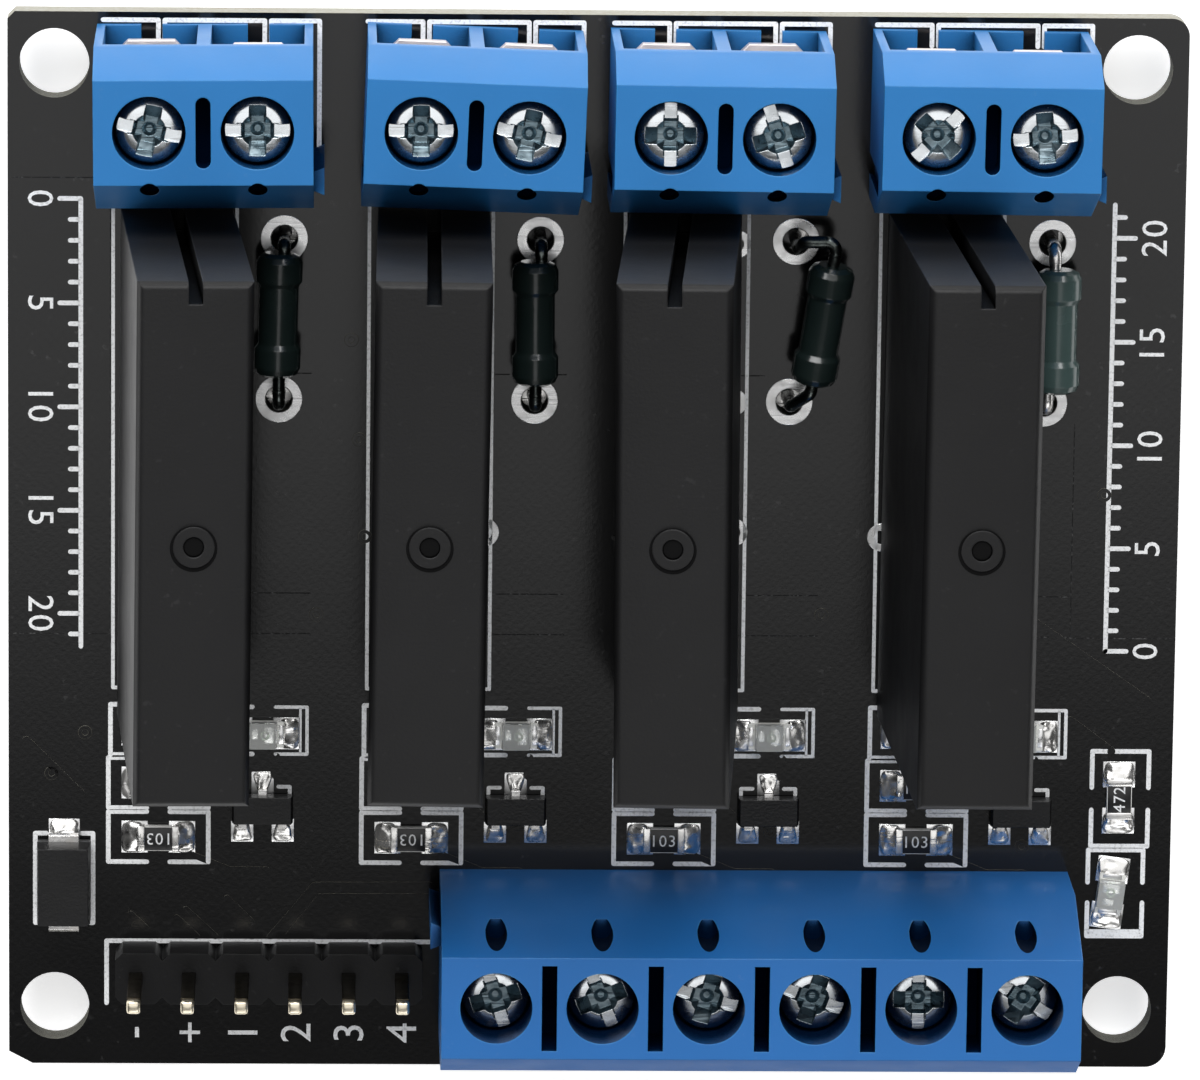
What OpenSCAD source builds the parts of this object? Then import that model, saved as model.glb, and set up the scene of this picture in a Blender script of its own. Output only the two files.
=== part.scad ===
// Four-channel solid state relay module: a black circuit board with four tall
// in-line relays, screw terminal blocks along two edges, a pin header and small parts.
// Millimetres. +Z up, +Y towards the four two-way output terminal blocks.
// Z = 0 is the level of the lead tips under the board, X = Y = 0 the board's centre.

/* [Part to show] */
// One piece by name, or all of them

/* [Board] */
// Board width along X
board_w = 55.7; // [54:0.1:64]
// Board length along Y
board_l = 51.0; // [50:0.1:60]
// Laminate thickness
board_t = 1.6; // [1.2:0.1:2.4]
// Length of the leads below the board
lead_out = 1.6; // [1.2:0.1:3]
// Radius of the four mounting holes
mount_r = 1.65; // [1.4:0.05:1.75]
// Mounting hole distance along X
mount_x = 51.1; // [50.6:0.1:51.6]
// Mounting hole distance along Y
mount_y = 45.7; // [45:0.1:46.2]

/* [Relays] */
// Number of channels stays four; this is the distance between them
channel_pitch = 12.1; // [12:0.01:12.2]
// Relay case thickness along X
relay_w = 5.3; // [4.2:0.1:5.8]
// Relay case length along Y
relay_l = 24.3; // [22.5:0.1:24.7]
// Relay case height above the board
relay_h = 20.3; // [16:0.1:26]
// Width of the upright groove in the relay's end face
relay_groove = 0.65; // [0.4:0.05:1]

/* [Screw terminals] */
// Distance between poles
pole_pitch = 5.0; // [4.9:0.01:5.1]
// Block height above the board
block_h = 10; // [9.9:0.1:12]
// Block size from the wire side to the back
block_d = 8.0; // [8:0.05:8.2]
// Depth of the flat top
flat_d = 4.9; // [4.6:0.05:5.1]
// Diameter of the screw well
well_d = 3.4; // [3.3:0.05:3.6]
// Screw head diameter
head_d = 3.1; // [2.9:0.05:3.25]
// Screw thread outer diameter
thread_d = 2.5; // [2:0.05:2.6]
// Clamp travel in the output blocks
travel_out = 2.4; // [1.6:0.05:2.4]
// Clamp travel in the input block
travel_in = 1.75; // [1.2:0.05:2.3]
// Inner width of one wire chamber
chamber_w = 4.35; // [4:0.05:4.4]

/* [Small parts] */
// Header pin pitch
header_pitch = 2.54; // [2.5:0.01:2.58]
// Header pin height above the board
header_h = 8.1; // [6:0.1:11]
// Chip resistor and light length
chip_l = 2.0; // [1.8:0.05:2.2]
// Fuse body length
fuse_l = 5.9; // [5.2:0.05:6.1]
// Fuse cap diameter
fuse_d = 2.2; // [1.8:0.05:2.4]

/* [Hidden] */
$fn = 48;
e = 0.01;
bz = lead_out + board_t;
ch0 = -1.5 * channel_pitch - 1.8;
function ch(i) = ch0 + i * channel_pitch;
mount_c = [-0.1, 0.2];

// terminal blocks
front_run = 1.2;
back_run = block_d - flat_d - front_run;
front_y = front_run + flat_d / 2;
back_y = front_y - block_d;
front_break = 7.5;
back_break = 4.85;
end_wall = 0.4;
rib_y = -2.75;
rib_h = 7;
function block_w(n) = (n - 1) * pole_pitch + chamber_w + 2 * end_wall;
floor_t = 0.4;
slide_gap = 0.05;
clamp_bottom = 0.6;
clamp_top = 1.1;
strip_t = 0.5;
touch_gap = 0.02;
seat_wall = 0.5;
head_h = 1.15;
strip_gap = 0.08;
shaft_front = 2.5;
shaft_back = -2.05;
chamber_back = -2.7;
clamp_front = 2.35;
clamp_back = -1.85;
clamp_w = chamber_w - 0.3;
clamp_wall = 0.5;
lip_front = 3.17;
lip_w = 3.2;
pin_w = 1.0;
pin_t = 0.5;
function strip_z(t) = floor_t + slide_gap + clamp_bottom + t + touch_gap;
function chamber_top(t) = strip_z(t) + strip_t + slide_gap + t + clamp_top + 0.1;
function seat_z(t) = chamber_top(t) + seat_wall;

// block places: [x, y of the screw line, turn]
out_place = [[-18.52, 21.32, 0.5], [-5.97, 21.28, -2.0], [5.56, 21.2, -0.6], [17.93, 21.24, -0.5]];
in_place = [7.85, -20.18, 180];
// how far each output clamp is let down, left then right, as a share of its travel
out_drop = [[0.52, 0], [0.52, 0.52], [0.65, 0.85], [0, 0]];
// slot direction of each output screw, left then right, in degrees
out_turn = [[-12, 0], [0, -12], [90, 108], [45, 5]];
in_turn = [327, 270, 340, 344, 292, 287];

// relays: lean about the lower edge and turn in plan
relay_lean = [3.3, -0.6, -3.6, 1.9];
relay_turn = [-0.4, -0.6, 0.3, -0.4];
relay_y = 4.0;
relay_edge = 0.35;
lead_y = [relay_l / 2 - 2.1, relay_l / 2 - 9.72, relay_l / 2 - 19.88, relay_l / 2 - 22.42];
relay_lead_w = 0.8;
relay_lead_t = 0.4;
relay_lead_in = 1.2;

// fuses: [x, y] of the body's two ends and their heights, wire-side end first
fuse_pad_n = 14.75;
fuse_pad_s = 7.03;
fuse_pad_x = [[-15.02, -14.79], [-2.9, -2.68], [9.2, 9.42], [21.31, 21.57]];
fuse_axis = 1.9;
fuse_hole_d = 1.25;
wire_d = 0.6;
lap = 0.05;

// header
header_c = [-15.38, -20.7];
header_n = 6;
header_body = 2.5;
header_pin = 0.64;

// chips
chip_w = 1.25;
chip_h = 0.5;
light_base = 0.35;
light_h = 0.8;
chip_x = -20.7;
light_x = -15.72;
row_a = -9.05;
row_b = -11.65;
row_c = -14.3;
light_y = -9.2;
sot_y = -12.8;
led472 = [25.3, -12.17];
power = [24.97, -16.85, -7];
diode_c = [-25.2, -16.35];
function col(x, i) = x + i * channel_pitch;

// ---------- shared shapes ----------

// a block centred in X and Y, standing on z = 0
module slab(x, y, z) {
    translate([-x / 2, -y / 2, 0]) cube([x, y, z]);
}

// where output block b stands, at the board's top
module at_output(b) {
    translate([out_place[b][0], out_place[b][1], bz]) rotate([0, 0, out_place[b][2]]) children();
}

// where the input block stands
module at_input() {
    translate([in_place[0], in_place[1], bz]) rotate([0, 0, in_place[2]]) children();
}

// pole p of a block with n poles
module at_pole(n, p) {
    translate([(p - (n - 1) / 2) * pole_pitch, 0, 0]) children();
}

// every terminal pin, at the board's top
module at_pins() {
    for (b = [0:3]) for (p = [0:1]) at_output(b) at_pole(2, p)
        translate([0, chamber_back + pin_t / 2, 0]) children();
    for (p = [0:5]) at_input() at_pole(6, p)
        translate([0, chamber_back + pin_t / 2, 0]) children();
}

// every relay lead, at the board's top
module at_relay_leads() {
    for (i = [0:3]) for (y = lead_y) translate([ch(i), relay_y + y, bz]) children();
}

// every header pin, at the board's top
module at_header() {
    for (k = [0:header_n - 1])
        translate([header_c[0] + (k - (header_n - 1) / 2) * header_pitch, header_c[1], bz])
            children();
}

// every fuse lead, at the board's top
module at_fuse_holes() {
    for (x = fuse_pad_x) {
        translate([x[0], fuse_pad_s, bz]) children();
        translate([x[1], fuse_pad_n, bz]) children();
    }
}

// ---------- board ----------

module corner_cut(x, y, r) {
    // the square corner outside a rounding of radius r, pointing to x, y
    translate([x * board_w / 2, y * board_l / 2, lead_out - e])
        difference() {
            translate([-r, -r, 0]) cube([2 * r, 2 * r, board_t + 2 * e]);
            translate([-x * r, -y * r, -e]) cylinder(r = r, h = board_t + 4 * e);
            translate([-x * r - (x > 0 ? 2 * r : 0), -y * 2 * r - r, -e])
                cube([2 * r, 2 * r, board_t + 4 * e]);
            translate([-x * 2 * r - r, -y * r - (y > 0 ? 2 * r : 0), -e])
                cube([2 * r, 2 * r, board_t + 4 * e]);
        }
}

module circuit_board() color([0.07, 0.07, 0.075]) difference() {
    translate([0, 0, lead_out]) slab(board_w, board_l, board_t);
    corner_cut(1, 1, 0.85);
    corner_cut(1, -1, 1.0);
    // clipped corners
    translate([-board_w / 2, board_l / 2, lead_out - e]) rotate([0, 0, 45])
        slab(0.5, 0.5, board_t + 2 * e);
    translate([-board_w / 2, -board_l / 2, lead_out - e])
        linear_extrude(board_t + 2 * e) polygon([[-e, -e], [1.15, -e], [-e, 0.6]]);
    for (x = [-1, 1]) for (y = [-1, 1])
        translate([mount_c[0] + x * mount_x / 2, mount_c[1] + y * mount_y / 2, lead_out - e])
            cylinder(r = mount_r, h = board_t + 2 * e);
    at_pins() translate([0, 0, -board_t - e]) cylinder(d = 1.3, h = board_t + 2 * e);
    at_relay_leads() translate([0, 0, -board_t - e]) cylinder(d = 1.05, h = board_t + 2 * e);
    at_header() translate([0, 0, -board_t - e]) cylinder(d = 1.02, h = board_t + 2 * e);
    at_fuse_holes() translate([0, 0, -board_t - e]) cylinder(d = fuse_hole_d, h = board_t + 2 * e);
}

// ---------- relays ----------

// the case's place: it stands on one lower edge and leans to that side
module leaning(i) {
    side = relay_lean[i] > 0 ? 1 : -1;
    translate([ch(i), relay_y, bz]) rotate([0, 0, relay_turn[i]])
        translate([side * relay_w / 2, 0, 0]) rotate([0, relay_lean[i], 0])
        translate([-side * relay_w / 2, 0, 0]) children();
}

module relay_shell() {
    c = relay_edge;
    w = relay_w / 2;
    l = relay_l / 2;
    difference() {
        intersection() {
            translate([0, l, 0]) rotate([90, 0, 0]) linear_extrude(relay_l)
                polygon([[-w, 0], [w, 0], [w, relay_h - c], [w - c, relay_h],
                    [c - w, relay_h], [-w, relay_h - c]]);
            translate([-w, 0, 0]) rotate([90, 0, 90]) linear_extrude(relay_w)
                polygon([[-l, 0], [l, 0], [l, relay_h - c], [l - c, relay_h],
                    [c - l, relay_h], [-l, relay_h - c]]);
        }
        // upright groove in the end face
        translate([0, l - 0.35, -e]) slab(relay_groove, 1.3, relay_h + 1);
        // hollow between the end feet
        translate([0, 0, -e]) slab(relay_w - 1.2, relay_l - 2.4, 0.35);
    }
    // moulded ring on the top
    translate([0, 0, relay_h]) difference() {
        cylinder(d = 1.9, h = 0.12);
        translate([0, 0, -e]) cylinder(d = 0.95, h = 1);
    }
}

module relay_case(i) color([0.1, 0.1, 0.105]) difference() {
    leaning(i) relay_shell();
    for (y = lead_y) translate([ch(i), relay_y + y, bz - 1])
        slab(relay_lead_t, relay_lead_w, relay_lead_in + 1);
}

module relay_case_1() relay_case(0);

module relay_case_2() relay_case(1);

module relay_case_3() relay_case(2);

module relay_case_4() relay_case(3);

module relay_leads() color([0.75, 0.75, 0.77]) at_relay_leads()
    translate([0, 0, -bz]) slab(relay_lead_t, relay_lead_w, bz + relay_lead_in);

// ---------- terminal blocks ----------

module block_profile() polygon([[front_y, 0], [front_y, front_break],
    [flat_d / 2, block_h], [-flat_d / 2, block_h], [back_y, back_break], [back_y, 0]]);

// the slot between two poles: it reaches down to just above the chambers
module pole_slot(t, long, round_ends) {
    z0 = chamber_top(t) + 0.3;
    translate([0, 0, z0]) {
        slab(0.7, round_ends ? long - 0.7 : long, block_h);
        if (round_ends) for (s = [-1, 1]) translate([0, s * (long - 0.7) / 2, 0])
            cylinder(d = 0.7, h = block_h);
    }
}

module housing(n, t, vent_y, vent_d, slot_l, round_ends) color([0.16, 0.38, 0.72]) {
    w = block_w(n);
    entry_top = min(6.7, chamber_top(t) - 0.6);
    difference() {
        union() {
            translate([-w / 2, 0, 0]) rotate([90, 0, 90]) linear_extrude(w) block_profile();
            // dovetail rib that joins a neighbouring block
            translate([w / 2, rib_y, 0]) linear_extrude(rib_h)
                polygon([[-0.1, -0.45], [0, -0.45], [0.5, -0.65], [0.5, 0.65], [0, 0.45],
                    [-0.1, 0.45]]);
        }
        // dovetail groove on the other side
        translate([-w / 2, rib_y, -e]) linear_extrude(rib_h + 0.1)
            polygon([[-0.1, -0.46], [0.25, -0.6], [0.25, 0.6], [-0.1, 0.46]]);
        for (p = [0:n - 1]) at_pole(n, p) {
            // wire entry, open at the front
            translate([-chamber_w / 2, chamber_back, floor_t])
                cube([chamber_w, front_y - chamber_back + 1, entry_top - floor_t]);
            // shaft for the clamp
            translate([-chamber_w / 2, shaft_back, floor_t])
                cube([chamber_w, shaft_front - shaft_back, chamber_top(t) - floor_t]);
            // slot in the floor, with the pin at its back end
            translate([-pin_w / 2, chamber_back, -e])
                cube([pin_w, front_y - chamber_back + 1, floor_t + 1]);
            translate([0, 0, seat_z(t)]) cylinder(d = well_d, h = block_h);
            translate([0, 0, chamber_top(t) - 0.5]) cylinder(d = thread_d + 0.2, h = 2);
            translate([0, vent_y, 6.9]) cylinder(d = vent_d, h = block_h);
        }
        for (p = [0:n - 2]) at_pole(n, p + 0.5) pole_slot(t, slot_l, round_ends);
    }
}

module output_housing(b) at_output(b) housing(2, travel_out, -2.8, 0.9, 3.3, true);

module output_housing_1() output_housing(0);

module output_housing_2() output_housing(1);

module output_housing_3() output_housing(2);

module output_housing_4() output_housing(3);

module input_housing() at_input() housing(6, travel_in, -3.15, 1, 4.1, false);

// solder pin with the bent strip that the wire is pressed against
module contact(t) color([0.8, 0.8, 0.82]) {
    z = strip_z(t);
    translate([-pin_w / 2, chamber_back, -bz]) cube([pin_w, pin_t, bz + z + strip_t]);
    translate([-chamber_w / 2, chamber_back, z])
        cube([chamber_w, shaft_back - chamber_back, strip_t]);
    translate([-1.2, chamber_back, z]) cube([2.4, 2 - chamber_back, strip_t]);
}

module output_contacts() for (b = [0:3]) for (p = [0:1])
    at_output(b) at_pole(2, p) contact(travel_out);

module input_contacts() for (p = [0:5]) at_input() at_pole(6, p) contact(travel_in);

// rising clamp: a frame around the strip, threaded at the top, with a wire lip below
module clamp(t, drop) color([0.82, 0.8, 0.8]) {
    window = t + touch_gap + strip_t + slide_gap;
    h = clamp_bottom + window + clamp_top;
    z = floor_t + slide_gap + t * (1 - drop);
    depth = clamp_front - clamp_back;
    translate([0, 0, z]) difference() {
        union() {
            translate([-clamp_w / 2, clamp_back, 0]) cube([clamp_w, depth, h]);
            linear_extrude(clamp_bottom)
                polygon([[-lip_w / 2, 0], [lip_w / 2, 0], [lip_w / 2, lip_front - 0.5],
                    [lip_w / 2 - 0.5, lip_front], [0.5 - lip_w / 2, lip_front],
                    [-lip_w / 2, lip_front - 0.5]]);
        }
        translate([clamp_wall - clamp_w / 2, clamp_back - 1, clamp_bottom])
            cube([clamp_w - 2 * clamp_wall, depth + 2, window]);
        translate([0, 0, clamp_bottom + 0.1]) cylinder(d = thread_d + 0.12, h = h);
    }
}

// captive screw with a slot and a cross, its slot turned by a
module screw(t, a) color([0.72, 0.73, 0.75]) {
    z = seat_z(t) + touch_gap;
    tip = strip_z(t) + strip_t + strip_gap;
    r = head_d / 2;
    translate([0, 0, tip]) cylinder(d = thread_d, h = z - tip + e);
    translate([0, 0, z]) rotate([0, 0, a]) difference() {
        rotate_extrude() polygon([[0, 0], [r, 0], [r, 0.7], [r - 0.14, 0.92],
            [r - 0.4, 1.08], [r - 0.75, head_h], [0, head_h]]);
        translate([0, 0, head_h - 0.42]) slab(head_d + 1, 0.66, 1);
        translate([0, 0, head_h - 0.62]) slab(2.3, 0.6, 1);
        translate([0, 0, head_h - 0.62]) slab(0.6, 2.3, 1);
        translate([0, 0, head_h - 0.62]) cylinder(d1 = 0.9, d2 = 1.6, h = 1);
    }
}

module output_screw(b, p) at_output(b) at_pole(2, p) screw(travel_out, out_turn[b][p]);

module output_clamp(b, p) at_output(b) at_pole(2, p) clamp(travel_out, out_drop[b][p]);

module input_screw(p) at_input() at_pole(6, p) screw(travel_in, in_turn[p] - 180);

module input_clamp(p) at_input() at_pole(6, p) clamp(travel_in, 0);

module output_screw_1a() output_screw(0, 0);

module output_screw_1b() output_screw(0, 1);

module output_screw_2a() output_screw(1, 0);

module output_screw_2b() output_screw(1, 1);

module output_screw_3a() output_screw(2, 0);

module output_screw_3b() output_screw(2, 1);

module output_screw_4a() output_screw(3, 0);

module output_screw_4b() output_screw(3, 1);

module input_screw_1() input_screw(0);

module input_screw_2() input_screw(1);

module input_screw_3() input_screw(2);

module input_screw_4() input_screw(3);

module input_screw_5() input_screw(4);

module input_screw_6() input_screw(5);

module output_clamp_1a() output_clamp(0, 0);

module output_clamp_1b() output_clamp(0, 1);

module output_clamp_2a() output_clamp(1, 0);

module output_clamp_2b() output_clamp(1, 1);

module output_clamp_3a() output_clamp(2, 0);

module output_clamp_3b() output_clamp(2, 1);

module output_clamp_4a() output_clamp(3, 0);

module output_clamp_4b() output_clamp(3, 1);

module input_clamp_1() input_clamp(0);

module input_clamp_2() input_clamp(1);

module input_clamp_3() input_clamp(2);

module input_clamp_4() input_clamp(3);

module input_clamp_5() input_clamp(4);

module input_clamp_6() input_clamp(5);

// ---------- header ----------

module header_insulator() color([0.06, 0.06, 0.065]) difference() {
    translate([header_c[0], header_c[1], bz])
        slab(header_n * header_pitch - 0.56, header_body, header_body);
    at_header() translate([0, 0, -1]) slab(header_pin, header_pin, 5);
    // notches between the pins, and clipped ends
    for (k = [0:header_n]) for (s = [-1, 1])
        translate([header_c[0] + (k == 0 ? 0.28 : k == header_n ? -0.28 : 0)
            + (k - header_n / 2) * header_pitch,
            header_c[1] + s * header_body / 2, bz - e])
            rotate([0, 0, 45]) slab(0.5, 0.5, header_body + 1);
}

module header_pins() color([0.85, 0.68, 0.3]) at_header() {
    point = 0.4;
    translate([0, 0, -bz]) slab(header_pin, header_pin, bz + header_h - point);
    translate([0, 0, header_h - point - e]) rotate([0, 0, 45])
        cylinder(d1 = header_pin * sqrt(2), d2 = 0.36 * sqrt(2), h = point + e, $fn = 4);
}

// ---------- fuses ----------

// turn the Z axis to the way from a to b
module along(a, b) {
    v = b - a;
    translate(a) rotate([0, acos(v[2] / norm(v)), atan2(v[1], v[0])]) children();
}

function unit(v) = v / norm(v);

// a bend of the wire at p, on the way from a to b, with its centre line r from the centre
module elbow(a, p, b, r) {
    u = unit(p - a);
    v = unit(b - p);
    turn = acos(u * v);
    n = unit(cross(u, v));
    tilt = acos(n[2]);
    plan = atan2(n[1], n[0]);
    ex = [cos(tilt) * cos(plan), cos(tilt) * sin(plan), -sin(tilt)];
    ey = [-sin(plan), cos(plan), 0];
    out = -cross(n, u);
    translate(p - u * r * tan(turn / 2) - out * r) rotate([0, tilt, plan])
        rotate([0, 0, atan2(out * ey, out * ex)])
        rotate_extrude(angle = turn, $fn = 32) translate([r, 0]) circle(d = wire_d, $fn = 24);
}

// how much of a straight stretch the bend at p takes
function taken(a, p, b, r) = r * tan(acos(unit(p - a) * unit(b - p)) / 2);

// a wire through the points of a path, bent to radius r at each inner point
module wire(path, r) {
    n = len(path) - 1;
    for (k = [1:n - 1]) elbow(path[k - 1], path[k], path[k + 1], r);
    for (k = [0:n - 1]) {
        a = path[k];
        b = path[k + 1];
        u = unit(b - a);
        from = k == 0 ? a : a + u * (taken(path[k - 1], a, b, r) - lap);
        to = k == n - 1 ? b : b - u * (taken(a, b, path[k + 2], r) - lap);
        along(from, to) cylinder(d = wire_d - 0.02, h = norm(to - from), $fn = 24);
    }
}

// dog-bone body, from the origin up the Z axis
module fuse_shape() {
    r = fuse_d / 2;
    m = r - 0.17;
    cap = 1.6;
    c = 0.42;
    l = fuse_l;
    rotate_extrude() polygon([[0, 0], [r - c, 0], [r - 0.14, 0.14], [r, c], [r, cap - 0.25],
        [m, cap], [m, l - cap], [r, l - cap + 0.25], [r, l - c], [r - 0.14, l - 0.14],
        [r - c, l], [0, l]]);
}

// the south end and the north end of each body
fuse_s = [[-15.12, 8.49, fuse_axis], [-2.93, 8.15, fuse_axis], [10.15, 8.2, 2.2],
    [21.72, 7.9, fuse_axis]];
fuse_n = [[-15.0, 14.39, fuse_axis], [-2.97, 14.05, fuse_axis], [11.05, 14.3, 3.1],
    [21.75, 13.8, fuse_axis]];

module fuse(i) {
    a = fuse_s[i] + [0, 0, bz];
    b = fuse_n[i] + [0, 0, bz];
    along(a, b) translate([0, 0, (norm(b - a) - fuse_l) / 2]) fuse_shape();
}

module fuse_body_1() color([0.09, 0.2, 0.16]) fuse(0);

module fuse_body_2() color([0.09, 0.2, 0.16]) fuse(1);

module fuse_body_3() color([0.09, 0.2, 0.16]) fuse(2);

module fuse_body_4() color([0.35, 0.6, 0.5]) fuse(3);

// the hole of body i's north (1) or south (-1) lead, at height z above the board
function fuse_hole(i, side, z) = side > 0 ? [fuse_pad_x[i][1], fuse_pad_n, bz + z]
    : [fuse_pad_x[i][0], fuse_pad_s, bz + z];

// middle of the end face of body i
function fuse_end(i, side) = [0, 0, bz] + (fuse_s[i] + fuse_n[i]) / 2
    + side * unit(fuse_n[i] - fuse_s[i]) * fuse_l / 2;

// short lead: level from the end face to the hole, then down
module level_lead(i, side, r) {
    end = fuse_end(i, side);
    hole = fuse_hole(i, side, fuse_axis);
    wire([[hole[0], end[1] + (hole[0] - end[0]) * -0.02, hole[2]], hole,
        [hole[0], hole[1], 0]], r);
}

module fuse_leads() color([0.78, 0.77, 0.74]) {
    level_lead(0, 1, 0.32);
    level_lead(0, -1, 0.7);
    level_lead(1, 1, 0.5);
    level_lead(1, -1, 0.6);
    level_lead(3, 1, 0.6);
    level_lead(3, -1, 0.55);
    // the third fuse sits askew: one lead is looped, the other is bent back
    n = unit(fuse_n[2] - fuse_s[2]);
    wire([fuse_end(2, 1), fuse_end(2, 1) + 1.15 * n, fuse_end(2, 1) + [-1.35, 1.1, -0.05],
        fuse_hole(2, 1, 1.9), fuse_hole(2, 1, -bz)], 0.42);
    wire([fuse_end(2, -1), fuse_end(2, -1) - 0.55 * n, fuse_hole(2, -1, 1.15),
        fuse_hole(2, -1, -bz)], 0.45);
}

// ---------- chips ----------

module chip() slab(chip_l, chip_w, chip_h);

module indicator_resistors() color([0.1, 0.1, 0.1]) for (i = [0:3])
    translate([col(chip_x, i), row_a, bz]) chip();

module gate_resistors() color([0.1, 0.1, 0.1]) for (i = [0:3])
    translate([col(chip_x, i), row_b, bz]) chip();

module input_resistors() color([0.1, 0.1, 0.1]) for (i = [0:3])
    translate([col(chip_x, i), row_c, bz]) chip();

module power_resistor() color([0.1, 0.1, 0.1])
    translate([led472[0], led472[1], bz]) rotate([0, 0, 90]) chip();

// every indicator light, its cathode end to the right or down
module at_lights() {
    for (i = [0:3]) translate([col(light_x, i), light_y, bz]) children();
    translate([power[0], power[1], bz]) rotate([0, 0, power[2] - 90]) children();
}

module indicator_bases() color([0.9, 0.9, 0.86]) at_lights() slab(chip_l, chip_w, light_base);

module indicator_lenses() color([0.85, 0.88, 0.84]) at_lights() translate([0, 0, light_base])
    rotate([90, 0, 0]) translate([0, 0, -chip_w / 2]) linear_extrude(chip_w)
    polygon([[-0.7, 0], [0.7, 0], [0.62, light_h - light_base], [-0.62, light_h - light_base]]);

// every transistor, its single lead to the back
module at_transistors() {
    for (i = [0:3]) translate([col(light_x, i), sot_y, bz]) children();
}

module transistor_bodies() color([0.08, 0.08, 0.08]) at_transistors() translate([0, 0, 0.08])
    difference() {
        rotate([90, 0, 0]) translate([0, 0, -0.65]) linear_extrude(1.3)
            polygon([[-1.4, 0], [1.4, 0], [1.46, 0.45], [1.36, 0.95], [-1.36, 0.95],
                [-1.46, 0.45]]);
        for (q = [[0, 1], [-0.95, -1], [0.95, -1]]) translate([q[0], q[1] * 0.65, 0.4])
            slab(0.42, 0.4, 0.14);
    }

// gull-wing lead, pointing to +Y from the body's side at the origin
module gull_wing(w, t, out, h) {
    translate([-w / 2, 0, 0]) rotate([90, 0, 90]) linear_extrude(w)
        polygon([[-0.2, h], [0.3, h], [0.42, t], [out, t], [out, 0], [0.3, 0], [0.18, h - t],
            [-0.2, h - t]]);
}

module transistor_leads() color([0.8, 0.8, 0.82]) at_transistors() {
    translate([0, 0.65, 0]) gull_wing(0.42, 0.14, 0.75, 0.62);
    for (x = [-0.95, 0.95]) translate([x, -0.65, 0]) rotate([0, 0, 180])
        gull_wing(0.42, 0.14, 0.75, 0.62);
}

module diode_body() color([0.09, 0.09, 0.09]) translate([diode_c[0], diode_c[1], bz + 0.1])
    difference() {
        intersection() {
            rotate([90, 0, 0]) translate([0, 0, -2]) linear_extrude(4)
                polygon([[-1.2, 0], [1.2, 0], [1.27, 0.9], [1.18, 2], [-1.18, 2], [-1.27, 0.9]]);
            rotate([90, 0, 90]) translate([0, 0, -2]) linear_extrude(4)
                polygon([[-1.95, 0], [1.95, 0], [2, 0.9], [1.88, 2], [-1.88, 2], [-2, 0.9]]);
        }
        for (s = [-1, 1]) translate([0, s * 2, 0.72]) slab(1.45, 0.4, 0.2);
        for (s = [-1, 1]) translate([0, s * 1.5, -e]) slab(1.45, 1.4, 0.1 + e);
    }

// leads of the diode: out of the end faces, down and folded back under the body
module diode_leads() color([0.8, 0.8, 0.82]) for (s = [0, 180])
    translate([diode_c[0], diode_c[1], bz]) rotate([0, 0, s])
    translate([-0.725, 0, 0]) rotate([90, 0, 90]) linear_extrude(1.45)
    polygon([[1.8, 1.02], [2.3, 1.02], [2.42, 0.9], [2.42, 0.12], [2.3, 0], [0.95, 0],
        [0.95, 0.2], [2.22, 0.2], [2.22, 0.82], [1.8, 0.82]]);

// ---------- solder ----------

// a fillet that climbs the end of a chip at x = 0 and runs out along +X
module fillet(w, long, h) {
    rotate([90, 0, 0]) translate([0, 0, -w / 2]) linear_extrude(w)
        polygon([[0, 0], [long, 0], [long, 0.06], [long * 0.45, h * 0.4], [0, h]]);
}

module chip_fillets(h) for (s = [0, 180]) rotate([0, 0, s]) translate([chip_l / 2, 0, 0])
    fillet(1.35, 0.68, h);

module surface_solder() color([0.86, 0.86, 0.88]) {
    for (i = [0:3]) for (y = [row_a, row_b, row_c])
        translate([col(chip_x, i), y, bz]) chip_fillets(0.42);
    translate([led472[0], led472[1], bz]) rotate([0, 0, 90]) chip_fillets(0.42);
    at_lights() chip_fillets(0.3);
    at_transistors() {
        translate([0, 1.4, 0]) rotate([0, 0, 90]) fillet(0.8, 0.35, 0.14);
        for (x = [-0.95, 0.95]) translate([x, -1.4, 0]) rotate([0, 0, -90])
            fillet(0.8, 0.35, 0.14);
    }
    for (s = [0, 180]) translate([diode_c[0], diode_c[1], bz]) rotate([0, 0, s])
        translate([0, 2.42, 0]) rotate([0, 0, 90]) fillet(1.5, 0.65, 0.6);
}

// cone of solder under the board around a lead of the given section
module solder_cone(r, x, y) translate([0, 0, -board_t - 0.95]) difference() {
    cylinder(r1 = r * 0.55, r2 = r, h = 0.95);
    translate([0, 0, -1]) slab(x, y, 3);
}

module lead_solder() color([0.84, 0.84, 0.86]) {
    for (b = [0:3]) for (p = [0:1]) at_output(b) at_pole(2, p)
        translate([0, chamber_back + pin_t / 2, 0]) solder_cone(1.15, pin_w, pin_t);
    for (p = [0:5]) at_input() at_pole(6, p)
        translate([0, chamber_back + pin_t / 2, 0]) solder_cone(1.15, pin_w, pin_t);
    at_relay_leads() solder_cone(0.95, relay_lead_t, relay_lead_w);
    at_header() solder_cone(0.85, header_pin, header_pin);
    at_fuse_holes() translate([0, 0, -board_t - 0.95]) difference() {
        cylinder(r1 = 0.5, r2 = 0.9, h = 0.95);
        translate([0, 0, -1]) cylinder(d = wire_d, h = 3, $fn = 24);
    }
}

// ---------- what is drawn ----------

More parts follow.
